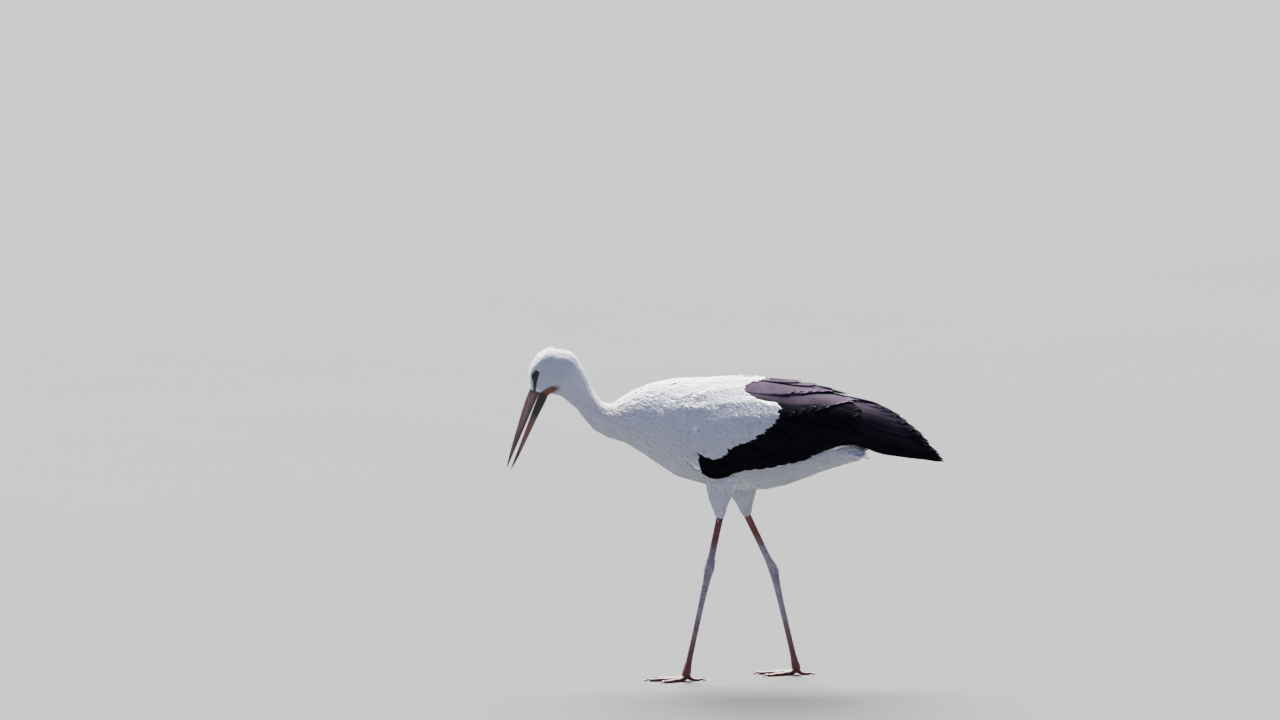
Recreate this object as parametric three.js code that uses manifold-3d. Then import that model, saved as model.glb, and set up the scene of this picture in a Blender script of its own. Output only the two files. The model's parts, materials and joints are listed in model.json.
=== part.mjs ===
// White stork: a life-size still model of a young bird, walking with its head lowered to feed.
// Millimetres, +Z up. The bird faces -X, stands on Z = 0, and its left side is towards -Y.

import * as THREE from 'three';
import { mergeVertices } from 'three/addons/utils/BufferGeometryUtils.js';
import Module from 'manifold-3d';

const wasm = await Module();
wasm.setup();

// ---------- driving dimensions ----------

const GAP = 0.35; // clearance left where two pieces meet
const BILL_LENGTH = 156; // feathering to tip
const HEAD_LENGTH = 84.5; // feathering at the bill to the back of the crown
const EYE_RADIUS = 6.8;
const BODY_SIDES = 16; // facets round the head, neck and trunk
const WHITE = 0xf2f0ee;
const BLACK = 0x1d1a20;
const HORN = 0x5a2f26;
const LEG_RED = 0x8e3226;
const CLAW = 0x2a2320;
const EYE_BROWN = 0x17100c;

// The head's own frame: the middle of the bill's base, and the direction from there to the back of the head.
const BILL_BASE = new THREE.Vector3(-360, 0, 548);
const HEAD_LEAN = THREE.MathUtils.degToRad(21.8); // the bill hangs this far forward of straight down
const HEAD_BACK = new THREE.Vector3(Math.sin(HEAD_LEAN), 0, Math.cos(HEAD_LEAN));
const HEAD_UP = new THREE.Vector3(-HEAD_BACK.z, 0, HEAD_BACK.x);
const EYE_BACK = 29; // the eye's place behind the bill's base
const EYE_UP = 17.5; // and above the bill's line
const EYE_OUT = 11.5;

// ---------- solids ----------

// A closed geometry as a manifold solid, with its shared corners merged.
function solidOf(geometry) {
  const bare = geometry.index ? geometry.clone() : geometry;
  bare.deleteAttribute('normal');
  bare.deleteAttribute('uv');
  const merged = mergeVertices(bare, 1e-3);
  return new wasm.Manifold(new wasm.Mesh({
    numProp: 3,
    vertProperties: new Float32Array(merged.attributes.position.array),
    triVerts: new Uint32Array(merged.index.array),
  }));
}

// The largest body of a cut solid, without the crumbs that a cut can leave beside it.
function mainBody(solid) {
  return solid.decompose().sort((a, b) => b.volume() - a.volume())[0];
}

function geometryOf(solid) {
  const mesh = solid.getMesh();
  return new THREE.BufferGeometry()
    .setAttribute('position', new THREE.BufferAttribute(new Float32Array(mesh.vertProperties), 3))
    .setIndex(new THREE.BufferAttribute(new Uint32Array(mesh.triVerts), 1));
}

// Everything on the far side of a plane: a large box whose near face holds the point.
function beyond(point, direction, step = 0) {
  const SIZE = 2000;
  const turn = new THREE.Quaternion().setFromUnitVectors(new THREE.Vector3(0, 0, 1), direction.clone().normalize());
  const box = new THREE.BoxGeometry(SIZE, SIZE, SIZE).translate(0, 0, SIZE / 2 + step);
  return solidOf(box.applyQuaternion(turn).translate(point.x, point.y, point.z));
}

// How far a form's section has opened, from 0 at its closed end to 1 where the round end is over.
function roundEnd(distance, length) {
  return distance >= length ? 1 : Math.sqrt(1 - (1 - distance / length) ** 2);
}

// A closed form round a smooth line. Each station gives a point of the line, the half width there, and the
// half height above and below the line. `square` above 2 fills the section's corners, `front` and `back` are the
// lengths of the round ends, and `bend` moves each finished point.
function form(stations, options) {
  const { rings, sides = BODY_SIDES, front = 0.05, back = 0.05, square = 2, grow = 0, bend = () => {} } = options;
  const line = new THREE.CatmullRomCurve3(stations.map((s) => new THREE.Vector3(s.x, s.y ?? 0, s.z)));
  const size = new THREE.CatmullRomCurve3(stations.map((s) => new THREE.Vector3(s.wide, s.up, s.down ?? s.up)));
  const shape = new THREE.SphereGeometry(1, sides, rings);
  const place = shape.attributes.position;
  const side = new THREE.Vector3();
  const point = new THREE.Vector3();
  for (let i = 0; i < place.count; i++) {
    point.fromBufferAttribute(place, i);
    const t = THREE.MathUtils.clamp((1 + point.y) / 2, 0, 1);
    const ring = Math.hypot(point.x, point.z);
    const closed = ring < 1e-6;
    const up = closed ? 0 : point.x / ring;
    const out = closed ? 0 : point.z / ring;
    const corner = closed ? 0 : (Math.abs(up) ** square + Math.abs(out) ** square) ** (-1 / square);
    const open = roundEnd(t, front) * roundEnd(1 - t, back);
    const half = size.getPoint(t);
    const tangent = line.getTangent(t);
    side.set(0, 1, 0).addScaledVector(tangent, -tangent.y).normalize();
    const above = tangent.clone().cross(side);
    point.copy(line.getPoint(t))
      .addScaledVector(above, corner * up * ((up > 0 ? half.y : half.z) * open + grow))
      .addScaledVector(side, corner * out * (half.x * open + grow))
      .addScaledVector(tangent, closed ? Math.sign(t - 0.5) * grow : 0);
    bend(point);
    place.setXYZ(i, point.x, point.y, point.z);
  }
  return solidOf(shape);
}

// A prism across the whole bird from an outline in side view, as [x, z] corners, each edge moved out by `grow`.
function sidePrism(outline, grow = 0) {
  const DEPTH = 600;
  const corners = outline.map(([x, z]) => new THREE.Vector2(x, z));
  const outward = THREE.ShapeUtils.isClockWise(corners) ? grow : -grow;
  const normals = corners.map((corner, i) => {
    const edge = corners[(i + 1) % corners.length].clone().sub(corner).normalize();
    return new THREE.Vector2(-edge.y, edge.x);
  });
  const shape = new THREE.Shape(corners.map((corner, i) => {
    const [before, after] = [normals.at(i - 1), normals[i]];
    return before.clone().add(after).multiplyScalar(outward / (1 + before.dot(after))).add(corner);
  }));
  const prism = new THREE.ExtrudeGeometry(shape, { depth: DEPTH, bevelEnabled: false });
  return solidOf(prism.rotateX(Math.PI / 2).translate(0, DEPTH / 2, 0));
}

// ---------- the body: neck and trunk on one line ----------

// From inside the head, down the bent neck, along the trunk to the tail's root.
const BODY = [
  { x: -351, z: 590, wide: 17, up: 29, down: 20 },
  { x: -334, z: 590, wide: 24, up: 43, down: 32 },
  { x: -316, z: 582, wide: 27, up: 48.5, down: 42 },
  { x: -295, z: 567, wide: 27.5, up: 34, down: 36 },
  { x: -279, z: 546, wide: 25, up: 25.5, down: 29 },
  { x: -263, z: 526, wide: 23, up: 21.5, down: 24 },
  { x: -244, z: 504, wide: 26, up: 27, down: 29 },
  { x: -219, z: 495, wide: 33, up: 34.5, down: 36 },
  { x: -192, z: 496, wide: 45, up: 47, down: 48 },
  { x: -163, z: 495, wide: 58, up: 70, down: 61 },
  { x: -124, z: 489, wide: 73, up: 88, down: 76 },
  { x: -66, z: 476, wide: 85, up: 104, down: 97 },
  { x: 8, z: 468, wide: 88, up: 108, down: 106 },
  { x: 84, z: 462, wide: 81, up: 98, down: 102 },
  { x: 142, z: 455, wide: 66, up: 80, down: 81 },
  { x: 198, z: 445, wide: 50, up: 50, down: 48 },
  { x: 240, z: 436, wide: 38, up: 22, down: 25 },
  { x: 262, z: 431, wide: 30, up: 8, down: 12 },
];
const bodyForm = (grow = 0) => form(BODY, { rings: 34, front: 0.03, back: 0.02, square: 2.15, grow });

// ---------- the head ----------

function headPoint(back, up, out = 0) {
  return BILL_BASE.clone().addScaledVector(HEAD_BACK, back).addScaledVector(HEAD_UP, up).setY(out);
}

function headStation(back, wide, up, down, line = 0) {
  const { x, z } = headPoint(back, line);
  return { x, z, wide, up: up - line, down: down + line };
}

const HEAD = [
  headStation(-5, 12.5, 17.5, 20),
  headStation(8, 15.5, 21.5, 25),
  headStation(22, 20, 28, 28),
  headStation(38, 25, 32.5, 29),
  headStation(56, 27.5, 32, 30),
  headStation(70, 26.5, 24, 32, -3),
  headStation(78, 22, 16, 32, -6),
  headStation(HEAD_LENGTH, 14, 5, 26, -10),
];
const headForm = (grow = 0) => form(HEAD, { rings: 12, front: 0.03, back: 0.08, square: 2.3, grow });

function eyeForm(side, grow = 0) {
  const at = headPoint(EYE_BACK, EYE_UP, side * EYE_OUT);
  return solidOf(new THREE.SphereGeometry(EYE_RADIUS + grow, 12, 8).translate(at.x, at.y, at.z));
}

// The bill is held a little open. Each half turns about the gape, under the eye.
const GAPE_BACK = 12;
const GAPE_UP = -3;
const BILL_OPEN = THREE.MathUtils.degToRad(1.2); // each half, from the closed line

// The direction from the bill's tip to the gape, for the upper half (1) or the lower one (-1).
function gapeLine(half) {
  return HEAD_BACK.clone().applyAxisAngle(new THREE.Vector3(0, 1, 0), half * BILL_OPEN);
}

// Stations run from the tip to inside the head. The upper half grows up from the line, the lower one down.
const BILL = [
  { distance: BILL_LENGTH, wide: 0.8, up: 1, down: 1 },
  { distance: BILL_LENGTH - 8, wide: 2, up: 2.8, down: 2.8 },
  { distance: 120, wide: 4.4, up: 7.4, down: 6.8 },
  { distance: 80, wide: 6.8, up: 12.6, down: 10.2 },
  { distance: 40, wide: 9.2, up: 17.2, down: 13.8 },
  { distance: 8, wide: 11.8, up: 19.4, down: 17 },
  { distance: -8, wide: 12, up: 18.6, down: 17 },
];

function billForm(half, grow = 0) {
  const along = gapeLine(half);
  const gape = headPoint(GAPE_BACK, GAPE_UP);
  const stations = BILL.map(({ distance, ...size }) => {
    const { x, z } = gape.clone().addScaledVector(along, -distance - GAPE_BACK);
    return { x, z, ...size };
  });
  const whole = form(stations, { rings: 12, sides: 12, front: 0.02, back: 0.02, square: 1.9, grow });
  const across = along.clone().applyAxisAngle(new THREE.Vector3(0, 1, 0), -half * Math.PI / 2);
  return whole.intersect(beyond(gape, across, -grow));
}

// ---------- the folded wing ----------

// Sections of the wing's outer face across the body: [y, z] of its top edge, y of its fullest place, [y, z] of
// its lower edge. `deep` is how far the wing reaches inwards there.
const WING = [
  { x: -142, top: [58, 532], side: 67, low: [64, 470], deep: 14 },
  { x: -88, top: [44, 563], side: 88, low: [77, 425], deep: 18 },
  { x: -28, top: [22, 580], side: 100, low: [84, 392], deep: 20 },
  { x: 22, top: [10, 583], side: 102, low: [83, 405], deep: 20 },
  { x: 83, top: [5, 580], side: 98, low: [79, 411], deep: 18 },
  { x: 135, top: [4, 571], side: 89, low: [71, 417], deep: 15 },
  { x: 184, top: [4, 559], side: 77, low: [60, 434], deep: 12 },
  { x: 240, top: [4, 540], side: 62, low: [50, 446], deep: 9 },
  { x: 292, top: [4, 525], side: 47, low: [43, 432], deep: 7 },
  { x: 335, top: [5, 503], side: 37, low: [35, 428], deep: 5.5 },
  { x: 388, top: [9, 455], side: 24, low: [22, 423], deep: 4 },
  { x: 415, top: [14, 419], side: 17, low: [17, 415], deep: 2 },
];
const WING_EDGE = 1.6; // thickness at the wing's rim
const FULLEST = 0.6; // height of the fullest place, as a share of the way from the lower edge to the top

const wingTop = new THREE.CatmullRomCurve3(WING.map((s) => new THREE.Vector3(s.x, ...s.top)));
const wingLow = new THREE.CatmullRomCurve3(WING.map((s) => new THREE.Vector3(s.x, ...s.low)));
const wingSide = new THREE.CatmullRomCurve3(WING.map((s) => new THREE.Vector3(s.x, s.side, s.deep)));

// A point of the left or right wing: t runs from the wrist to the tip, c from the top edge to the lower edge,
// and inwards is 0 on the outer face and 1 on the inner one.
function wingPoint(t, c, inwards, side, grow) {
  const top = wingTop.getPoint(t);
  const low = wingLow.getPoint(t);
  const fullest = wingSide.getPoint(t);
  const middle = new THREE.Vector2(fullest.y, THREE.MathUtils.lerp(low.z, top.z, FULLEST));
  const control = middle.multiplyScalar(2).sub(new THREE.Vector2(top.y + low.y, top.z + low.z).multiplyScalar(0.5));
  const section = new THREE.QuadraticBezierCurve(
    new THREE.Vector2(top.y, top.z), control, new THREE.Vector2(low.y, low.z));
  const along = section.getTangent(THREE.MathUtils.clamp(c, 0.01, 0.99));
  const out = new THREE.Vector2(-along.y, along.x);
  const depth = WING_EDGE + (fullest.z - WING_EDGE) * 4 * c * (1 - c);
  const place = section.getPoint(c)
    .addScaledVector(out, grow - inwards * (depth + 2 * grow))
    .addScaledVector(along, grow * (2 * c - 1));
  return new THREE.Vector3(top.x + grow * (2 * t - 1), side * place.x, place.y);
}

function wingForm(side, grow = 0) {
  const shape = new THREE.BoxGeometry(1, 1, 1, 16, 6, 1);
  const place = shape.attributes.position;
  for (let i = 0; i < place.count; i++) {
    const point = wingPoint(place.getX(i) + 0.5, 0.5 - place.getY(i), 0.5 - place.getZ(i), side, grow);
    place.setXYZ(i, point.x, point.y, point.z);
  }
  if (side < 0) return solidOf(shape);
  const corners = shape.index.array;
  for (let i = 0; i < corners.length; i += 3) [corners[i], corners[i + 1]] = [corners[i + 1], corners[i]];
  return solidOf(shape);
}

// Where the wing is parted, in side view: the white coverts, the long shoulder and tertial feathers above,
// the flight feathers below, and the primaries behind.
const COVERTS = [[-260, 640], [-260, 380], [-40, 380], [-57, 444], [-42, 434], [-23, 430], [-10, 434], [5, 447],
  [24, 459], [53, 470], [72, 484], [87, 497], [97, 509], [106, 524], [98, 533], [72, 537], [53, 546], [34, 556],
  [36, 569], [24, 578], [10, 640]];
const TERTIALS = [[-60, 660], [-20, 570], [20, 540], [104, 522], [190, 512], [262, 506], [276, 660]];
const PRIMARIES = [[262, 380], [256, 470], [262, 700], [600, 700], [600, 380]];

// ---------- the tail ----------

const TAIL = [
  { x: 150, z: 462, wide: 30, up: 9, down: 12 },
  { x: 200, z: 452, wide: 38, up: 7, down: 10 },
  { x: 240, z: 444, wide: 44, up: 4, down: 5 },
  { x: 266, z: 440, wide: 47, up: 2.4, down: 2.4 },
  { x: 273, z: 439, wide: 46, up: 1.6, down: 1.6 },
];
const TAIL_DROOP = 16; // its outer feathers lie this much lower than the middle ones
const TAIL_HALF = TAIL.at(-1).wide;
const tailForm = (grow = 0) => form(TAIL, {
  rings: 12, sides: 14, front: 0.1, back: 0.04, square: 3, grow,
  bend: (point) => { point.z -= TAIL_DROOP * (point.y / TAIL_HALF) ** 2; },
});

// ---------- the legs ----------

const LEG_OUT = 45; // each leg's distance from the middle of the body
const LEFT_LEG = {
  side: -1,
  thigh: [
    { x: 2, z: 428, wide: 32, up: 48, down: 46 },
    { x: -10, z: 388, wide: 29, up: 38, down: 36 },
    { x: -15, z: 350, wide: 21, up: 23, down: 22 },
    { x: -14, z: 327, wide: 12.5, up: 14, down: 13.5 },
    { x: -13, z: 312, wide: 8.6, up: 9.6, down: 9.4 },
  ],
  knee: [-13, 318],
  ankle: [-34, 219],
  foot: [-77, 17],
  toeTurn: 5,
};
const RIGHT_LEG = {
  side: 1,
  thigh: [
    { x: 8, z: 428, wide: 32, up: 50, down: 48 },
    { x: 26, z: 382, wide: 29, up: 38, down: 37 },
    { x: 33, z: 342, wide: 21, up: 23, down: 23 },
    { x: 36, z: 319, wide: 12.5, up: 13.5, down: 13 },
    { x: 39, z: 305, wide: 8.6, up: 9.6, down: 9.4 },
  ],
  knee: [37, 311],
  ankle: [88, 204],
  foot: [132, 17],
  toeTurn: -4,
};

const thighForm = (leg, grow = 0) => form(
  leg.thigh.map((s) => ({ ...s, y: leg.side * LEG_OUT })),
  { rings: 10, sides: 14, front: 0.08, back: 0.05, grow });

// Shank and tarsus as one tube that swells at the ankle and over the foot.
function legForm(leg, grow = 0) {
  const mix = (a, b, share) => ({
    x: THREE.MathUtils.lerp(a[0], b[0], share),
    z: THREE.MathUtils.lerp(a[1], b[1], share),
    y: leg.side * LEG_OUT,
  });
  const { knee, ankle, foot } = leg;
  return form([
    { ...mix(knee, ankle, -0.12), wide: 6.4, up: 7.6, down: 7.4 },
    { ...mix(knee, ankle, 0.35), wide: 5.9, up: 6.8, down: 6.8 },
    { ...mix(knee, ankle, 0.8), wide: 6.4, up: 7.2, down: 7 },
    { ...mix(knee, ankle, 1), wide: 9, up: 11, down: 9.4 },
    { ...mix(ankle, foot, 0.1), wide: 7.2, up: 8.4, down: 7.4 },
    { ...mix(ankle, foot, 0.3), wide: 5.3, up: 6.2, down: 6 },
    { ...mix(ankle, foot, 0.65), wide: 4.9, up: 5.7, down: 5.5 },
    { ...mix(ankle, foot, 0.9), wide: 5.9, up: 6, down: 6.2 },
    { ...mix(ankle, foot, 1), wide: 8.8, up: 8.8, down: 8.8 },
    { ...mix(ankle, foot, 1.05), wide: 7.2, up: 7.8, down: 7.8 },
  ], { rings: 22, sides: 8, front: 0.01, back: 0.05, grow });
}

// The toes of each foot: degrees from straight ahead, length to the claw, number of pads and thickness.
const TOES = {
  middle: { turn: 0, reach: 72, pads: 3, thick: 5.2 },
  inner: { turn: -33, reach: 54, pads: 2, thick: 4.9 },
  outer: { turn: 31, reach: 61, pads: 3, thick: 4.8 },
  hind: { turn: 180, reach: 27, pads: 1, thick: 4.4 },
};
const SOLE_SHARE = 0.62; // height of a toe's line over the ground, as a share of its thickness
const HIND_LIFT = 9; // the hind toe starts this much higher than the others
const CLAW_LENGTH = 12;

// Stations of one toe from its claw end to the foot, with a swelling at each pad.
function toeStations(leg, toe) {
  const turn = THREE.MathUtils.degToRad(180 + leg.side * toe.turn + leg.toeTurn);
  const steps = 3 * toe.pads + 2;
  const lift = toe.turn === 180 ? HIND_LIFT : 4;
  return Array.from({ length: steps + 1 }, (_, i) => {
    const share = i / steps; // 0 at the claw, 1 at the foot
    const distance = toe.reach * (1 - share);
    const pad = 0.12 * Math.cos(2 * Math.PI * (share * toe.pads + 0.12));
    const thick = toe.thick * (0.78 + 0.22 * share + pad);
    return {
      x: leg.foot[0] + distance * Math.cos(turn),
      y: leg.side * LEG_OUT + distance * Math.sin(turn),
      z: thick * SOLE_SHARE + lift * share ** 4,
      wide: thick,
      up: thick,
    };
  });
}

// Toes and claws are flat where they rest on the ground.
const onGround = (point) => { point.z = Math.max(point.z, 0); };

const toeForm = (leg, toe, grow = 0) => form(
  toeStations(leg, toe), { rings: 10, sides: 8, front: 0.05, back: 0.05, grow, bend: onGround });

function clawForm(leg, toe, grow = 0) {
  const [tip, next] = toeStations(leg, toe);
  const out = new THREE.Vector3(tip.x - next.x, tip.y - next.y, 0).normalize();
  const stations = [[1, -2.2, 0.5], [0.72, -1.1, 1.2], [0.35, 0.5, 2], [-0.1, 1.2, 2.5], [-0.35, 1.2, 2]];
  return form(stations.map(([share, rise, thick]) => ({
    x: tip.x + out.x * CLAW_LENGTH * share,
    y: tip.y + out.y * CLAW_LENGTH * share,
    z: tip.z + rise,
    wide: thick * 0.85,
    up: thick,
  })), { rings: 5, sides: 6, front: 0.03, back: 0.2, grow, bend: onGround });
}

// ---------- the parts ----------

const stork = new THREE.Group();

function add(name, solid, color, roughness) {
  const mesh = new THREE.Mesh(
    geometryOf(mainBody(solid)), new THREE.MeshStandardMaterial({ color, roughness, metalness: 0 }));
  mesh.name = name;
  stork.add(mesh);
}

// Head, neck and trunk are one form, parted by thin cuts across its line.
const flesh = bodyForm().add(headForm());
const fleshGrown = bodyForm(GAP).add(headForm(GAP));
const CUTS = [
  { at: new THREE.Vector3(-292, 0, 565), along: new THREE.Vector3(0.74, 0, -0.67) },
  { at: new THREE.Vector3(-252, 0, 512), along: new THREE.Vector3(0.71, 0, -0.7) },
  { at: new THREE.Vector3(-168, 0, 495), along: new THREE.Vector3(1, 0, -0.06) },
];
const NAMES = ['head', 'neck_upper', 'neck_lower', 'trunk'];
const sockets = eyeForm(-1, GAP).add(eyeForm(1, GAP)).add(billForm(1, GAP)).add(billForm(-1, GAP));
NAMES.forEach((name, i) => {
  let piece = flesh;
  if (i > 0) piece = piece.intersect(beyond(CUTS[i - 1].at, CUTS[i - 1].along, GAP / 2));
  if (i < CUTS.length) piece = piece.subtract(beyond(CUTS[i].at, CUTS[i].along, -GAP / 2));
  add(name, i === 0 ? piece.subtract(sockets) : piece, WHITE, 0.85);
});

for (const [side, name] of [[-1, 'left'], [1, 'right']]) add(`eye_${name}`, eyeForm(side), EYE_BROWN, 0.15);

add('bill_upper', billForm(1), HORN, 0.45);
add('bill_lower', billForm(-1).subtract(billForm(1, GAP)), HORN, 0.45);

// Wings lie on the trunk and are parted along the edges of their feather tracts.
const wingsGrown = wingForm(-1, GAP).add(wingForm(1, GAP));
for (const [side, name] of [[-1, 'left'], [1, 'right']]) {
  const wing = mainBody(wingForm(side).subtract(fleshGrown));
  const flight = wing.subtract(sidePrism(COVERTS, GAP));
  add(`wing_${name}_coverts`, wing.intersect(sidePrism(COVERTS)), WHITE, 0.85);
  add(`wing_${name}_primaries`, flight.intersect(sidePrism(PRIMARIES)), BLACK, 0.6);
  const inner = flight.subtract(sidePrism(PRIMARIES, GAP));
  add(`wing_${name}_tertials`, inner.intersect(sidePrism(TERTIALS)), BLACK, 0.6);
  add(`wing_${name}_secondaries`, inner.subtract(sidePrism(TERTIALS, GAP)), BLACK, 0.6);
}

add('tail', tailForm().subtract(fleshGrown).subtract(wingsGrown), WHITE, 0.85);

for (const leg of [LEFT_LEG, RIGHT_LEG]) {
  const name = leg.side < 0 ? 'left' : 'right';
  const ankle = new THREE.Vector3(leg.ankle[0], 0, leg.ankle[1] + 14);
  const thigh = thighForm(leg).subtract(fleshGrown).subtract(wingsGrown);
  const limb = legForm(leg).subtract(thighForm(leg, GAP));
  add(`thigh_${name}`, thigh, WHITE, 0.85);
  add(`shank_${name}`, limb.intersect(beyond(ankle, new THREE.Vector3(0, 0, 1), GAP / 2)), LEG_RED, 0.6);
  add(`tarsus_${name}`, limb.subtract(beyond(ankle, new THREE.Vector3(0, 0, 1), -GAP / 2)), LEG_RED, 0.6);
  let taken = legForm(leg, GAP);
  for (const [place, toe] of Object.entries(TOES)) {
    add(`toe_${name}_${place}`, toeForm(leg, toe).subtract(taken).subtract(clawForm(leg, toe, GAP)), LEG_RED, 0.6);
    add(`claw_${name}_${place}`, clawForm(leg, toe), CLAW, 0.4);
    taken = taken.add(toeForm(leg, toe, GAP));
  }
}

// The origin lies on the ground, at the middle of the bird's box.
const box = new THREE.Box3().setFromObject(stork);
const middle = box.getCenter(new THREE.Vector3());
stork.position.set(-middle.x, -middle.y, 0);

export default stork;
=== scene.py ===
import json
import math

import bmesh
import bpy
import numpy as np
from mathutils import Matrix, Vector
from mathutils.bvhtree import BVHTree

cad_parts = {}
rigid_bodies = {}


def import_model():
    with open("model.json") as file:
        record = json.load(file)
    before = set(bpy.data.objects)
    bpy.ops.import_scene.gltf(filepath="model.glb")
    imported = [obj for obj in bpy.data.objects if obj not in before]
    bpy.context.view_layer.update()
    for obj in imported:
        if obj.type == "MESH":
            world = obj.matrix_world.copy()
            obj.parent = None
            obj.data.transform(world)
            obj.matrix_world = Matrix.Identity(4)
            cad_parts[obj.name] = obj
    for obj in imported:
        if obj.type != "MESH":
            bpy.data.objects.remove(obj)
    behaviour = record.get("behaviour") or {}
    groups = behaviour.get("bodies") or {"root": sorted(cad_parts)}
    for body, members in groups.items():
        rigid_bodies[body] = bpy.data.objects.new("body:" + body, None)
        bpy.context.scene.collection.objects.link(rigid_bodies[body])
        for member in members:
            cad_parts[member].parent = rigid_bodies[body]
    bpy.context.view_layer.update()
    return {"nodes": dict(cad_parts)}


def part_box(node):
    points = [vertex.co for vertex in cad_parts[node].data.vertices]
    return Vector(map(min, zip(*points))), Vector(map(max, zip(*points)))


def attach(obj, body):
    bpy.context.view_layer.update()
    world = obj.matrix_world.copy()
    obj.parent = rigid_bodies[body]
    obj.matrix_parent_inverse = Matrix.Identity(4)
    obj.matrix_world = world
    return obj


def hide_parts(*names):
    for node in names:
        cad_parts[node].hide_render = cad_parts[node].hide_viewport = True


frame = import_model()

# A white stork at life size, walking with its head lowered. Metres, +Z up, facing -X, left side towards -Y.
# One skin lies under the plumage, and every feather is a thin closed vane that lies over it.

MM = 0.001
SEED = 11
scene = bpy.context.scene

# The body's own plan is in millimetres, and starts this far from the frame's origin.
WING_TIP = 415
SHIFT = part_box("wing_left_primaries")[1].x / MM - WING_TIP


def plan(x, z):
    """A place of the body's plan, in metres."""
    return np.array([(x + SHIFT) * MM, 0, z * MM])


def plan_of(points):
    """The plan's x, y and z of points of the frame, in millimetres."""
    return points[:, 0] / MM - SHIFT, points[:, 1] / MM, points[:, 2] / MM


def add_to_scene(name, data):
    made = bpy.data.objects.new(name, data)
    scene.collection.objects.link(made)
    return made


# ---------- studio ----------

VIEW_LENS = 300
VIEW_HEIGHT = math.radians(6)
VIEW_DISTANCE = 20.27
AIM = np.array([-0.1636, 0, 0.6094])


def facing(direction):
    """The turn of a lamp or camera that looks against this direction."""
    return Vector(direction).to_track_quat("Z", "Y").to_euler()


def add_lamp(name, towards, softness, strength, colour):
    """A broad even light that comes from this direction."""
    lamp = bpy.data.lights.new(name, "SUN")
    lamp.angle, lamp.energy, lamp.color = math.radians(softness), strength, colour
    add_to_scene(name, lamp).rotation_euler = facing(towards)


def build_studio():
    view = bpy.data.cameras.new("view")
    view.lens, view.sensor_width, view.clip_start, view.clip_end = VIEW_LENS, 36, 0.1, 400
    camera = add_to_scene("view", view)
    away = np.array([0, -math.cos(VIEW_HEIGHT), math.sin(VIEW_HEIGHT)])
    camera.location = AIM + VIEW_DISTANCE * away
    camera.rotation_euler = facing(away)
    scene.camera = camera

    world = bpy.data.worlds.new("studio_air")
    world.use_nodes = True
    air = world.node_tree.nodes["Background"]
    air.inputs["Color"].default_value = (0.41, 0.49, 1.0, 1)
    air.inputs["Strength"].default_value = 0.78
    scene.world = world
    add_lamp("key", (-0.08, 0.64, 0.765), 38, 60, (1, 0.985, 0.96))
    add_lamp("side_fill", (-0.5, -0.8, 0.35), 60, 0.6, (0.72, 0.79, 1))


# ---------- node helpers ----------

def put(tree, kind, inputs=None, **settings):
    """One node with its settings, and its inputs as values or as links from other sockets."""
    made = tree.nodes.new(kind)
    for key, value in settings.items():
        setattr(made, key, value)
    for key, value in (inputs or {}).items():
        if isinstance(value, bpy.types.NodeSocket):
            tree.links.new(value, made.inputs[key])
        else:
            made.inputs[key].default_value = value
    return made


def math_node(tree, operation, *values):
    return put(tree, "ShaderNodeMath", dict(enumerate(values)), operation=operation).outputs[0]


def times(tree, first, second):
    return math_node(tree, "MULTIPLY", first, second)


def vector_math(tree, operation, *values):
    return put(tree, "ShaderNodeVectorMath", dict(enumerate(values)), operation=operation).outputs[0]


def scaled(tree, vector, factor):
    return put(tree, "ShaderNodeVectorMath", {0: vector, "Scale": factor}, operation="SCALE").outputs[0]


def combined(tree, x=0.0, y=0.0, z=0.0):
    return put(tree, "ShaderNodeCombineXYZ", {0: x, 1: y, 2: z}).outputs[0]


def parts(tree, vector):
    return put(tree, "ShaderNodeSeparateXYZ", {0: vector}).outputs


def attribute(tree, name, output="Fac"):
    return put(tree, "ShaderNodeAttribute", attribute_name=name).outputs[output]


def object_place(tree):
    return put(tree, "ShaderNodeTexCoord").outputs["Object"]


def colour_mix(tree, factor, first, second):
    return put(tree, "ShaderNodeMix", {0: factor, 6: first, 7: second}, data_type="RGBA").outputs[2]


def ramp(tree, value, low, high, to_low=0.0, to_high=1.0):
    made = put(tree, "ShaderNodeMapRange", {0: value, 1: low, 2: high, 3: to_low, 4: to_high},
               interpolation_type="SMOOTHSTEP")
    return made.outputs[0]


def new_group(name, kind, inputs, outputs):
    """An empty node group with named sockets: {name: (type, default)}."""
    tree = bpy.data.node_groups.new(name, kind)
    for key, (socket_type, default) in inputs.items():
        made = tree.interface.new_socket(name=key, in_out="INPUT", socket_type=socket_type)
        if default is not None:
            made.default_value = default
    for key, socket_type in outputs.items():
        tree.interface.new_socket(name=key, in_out="OUTPUT", socket_type=socket_type)
    return tree, tree.nodes.new("NodeGroupInput").outputs, tree.nodes.new("NodeGroupOutput").inputs


# ---------- shader groups ----------

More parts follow.
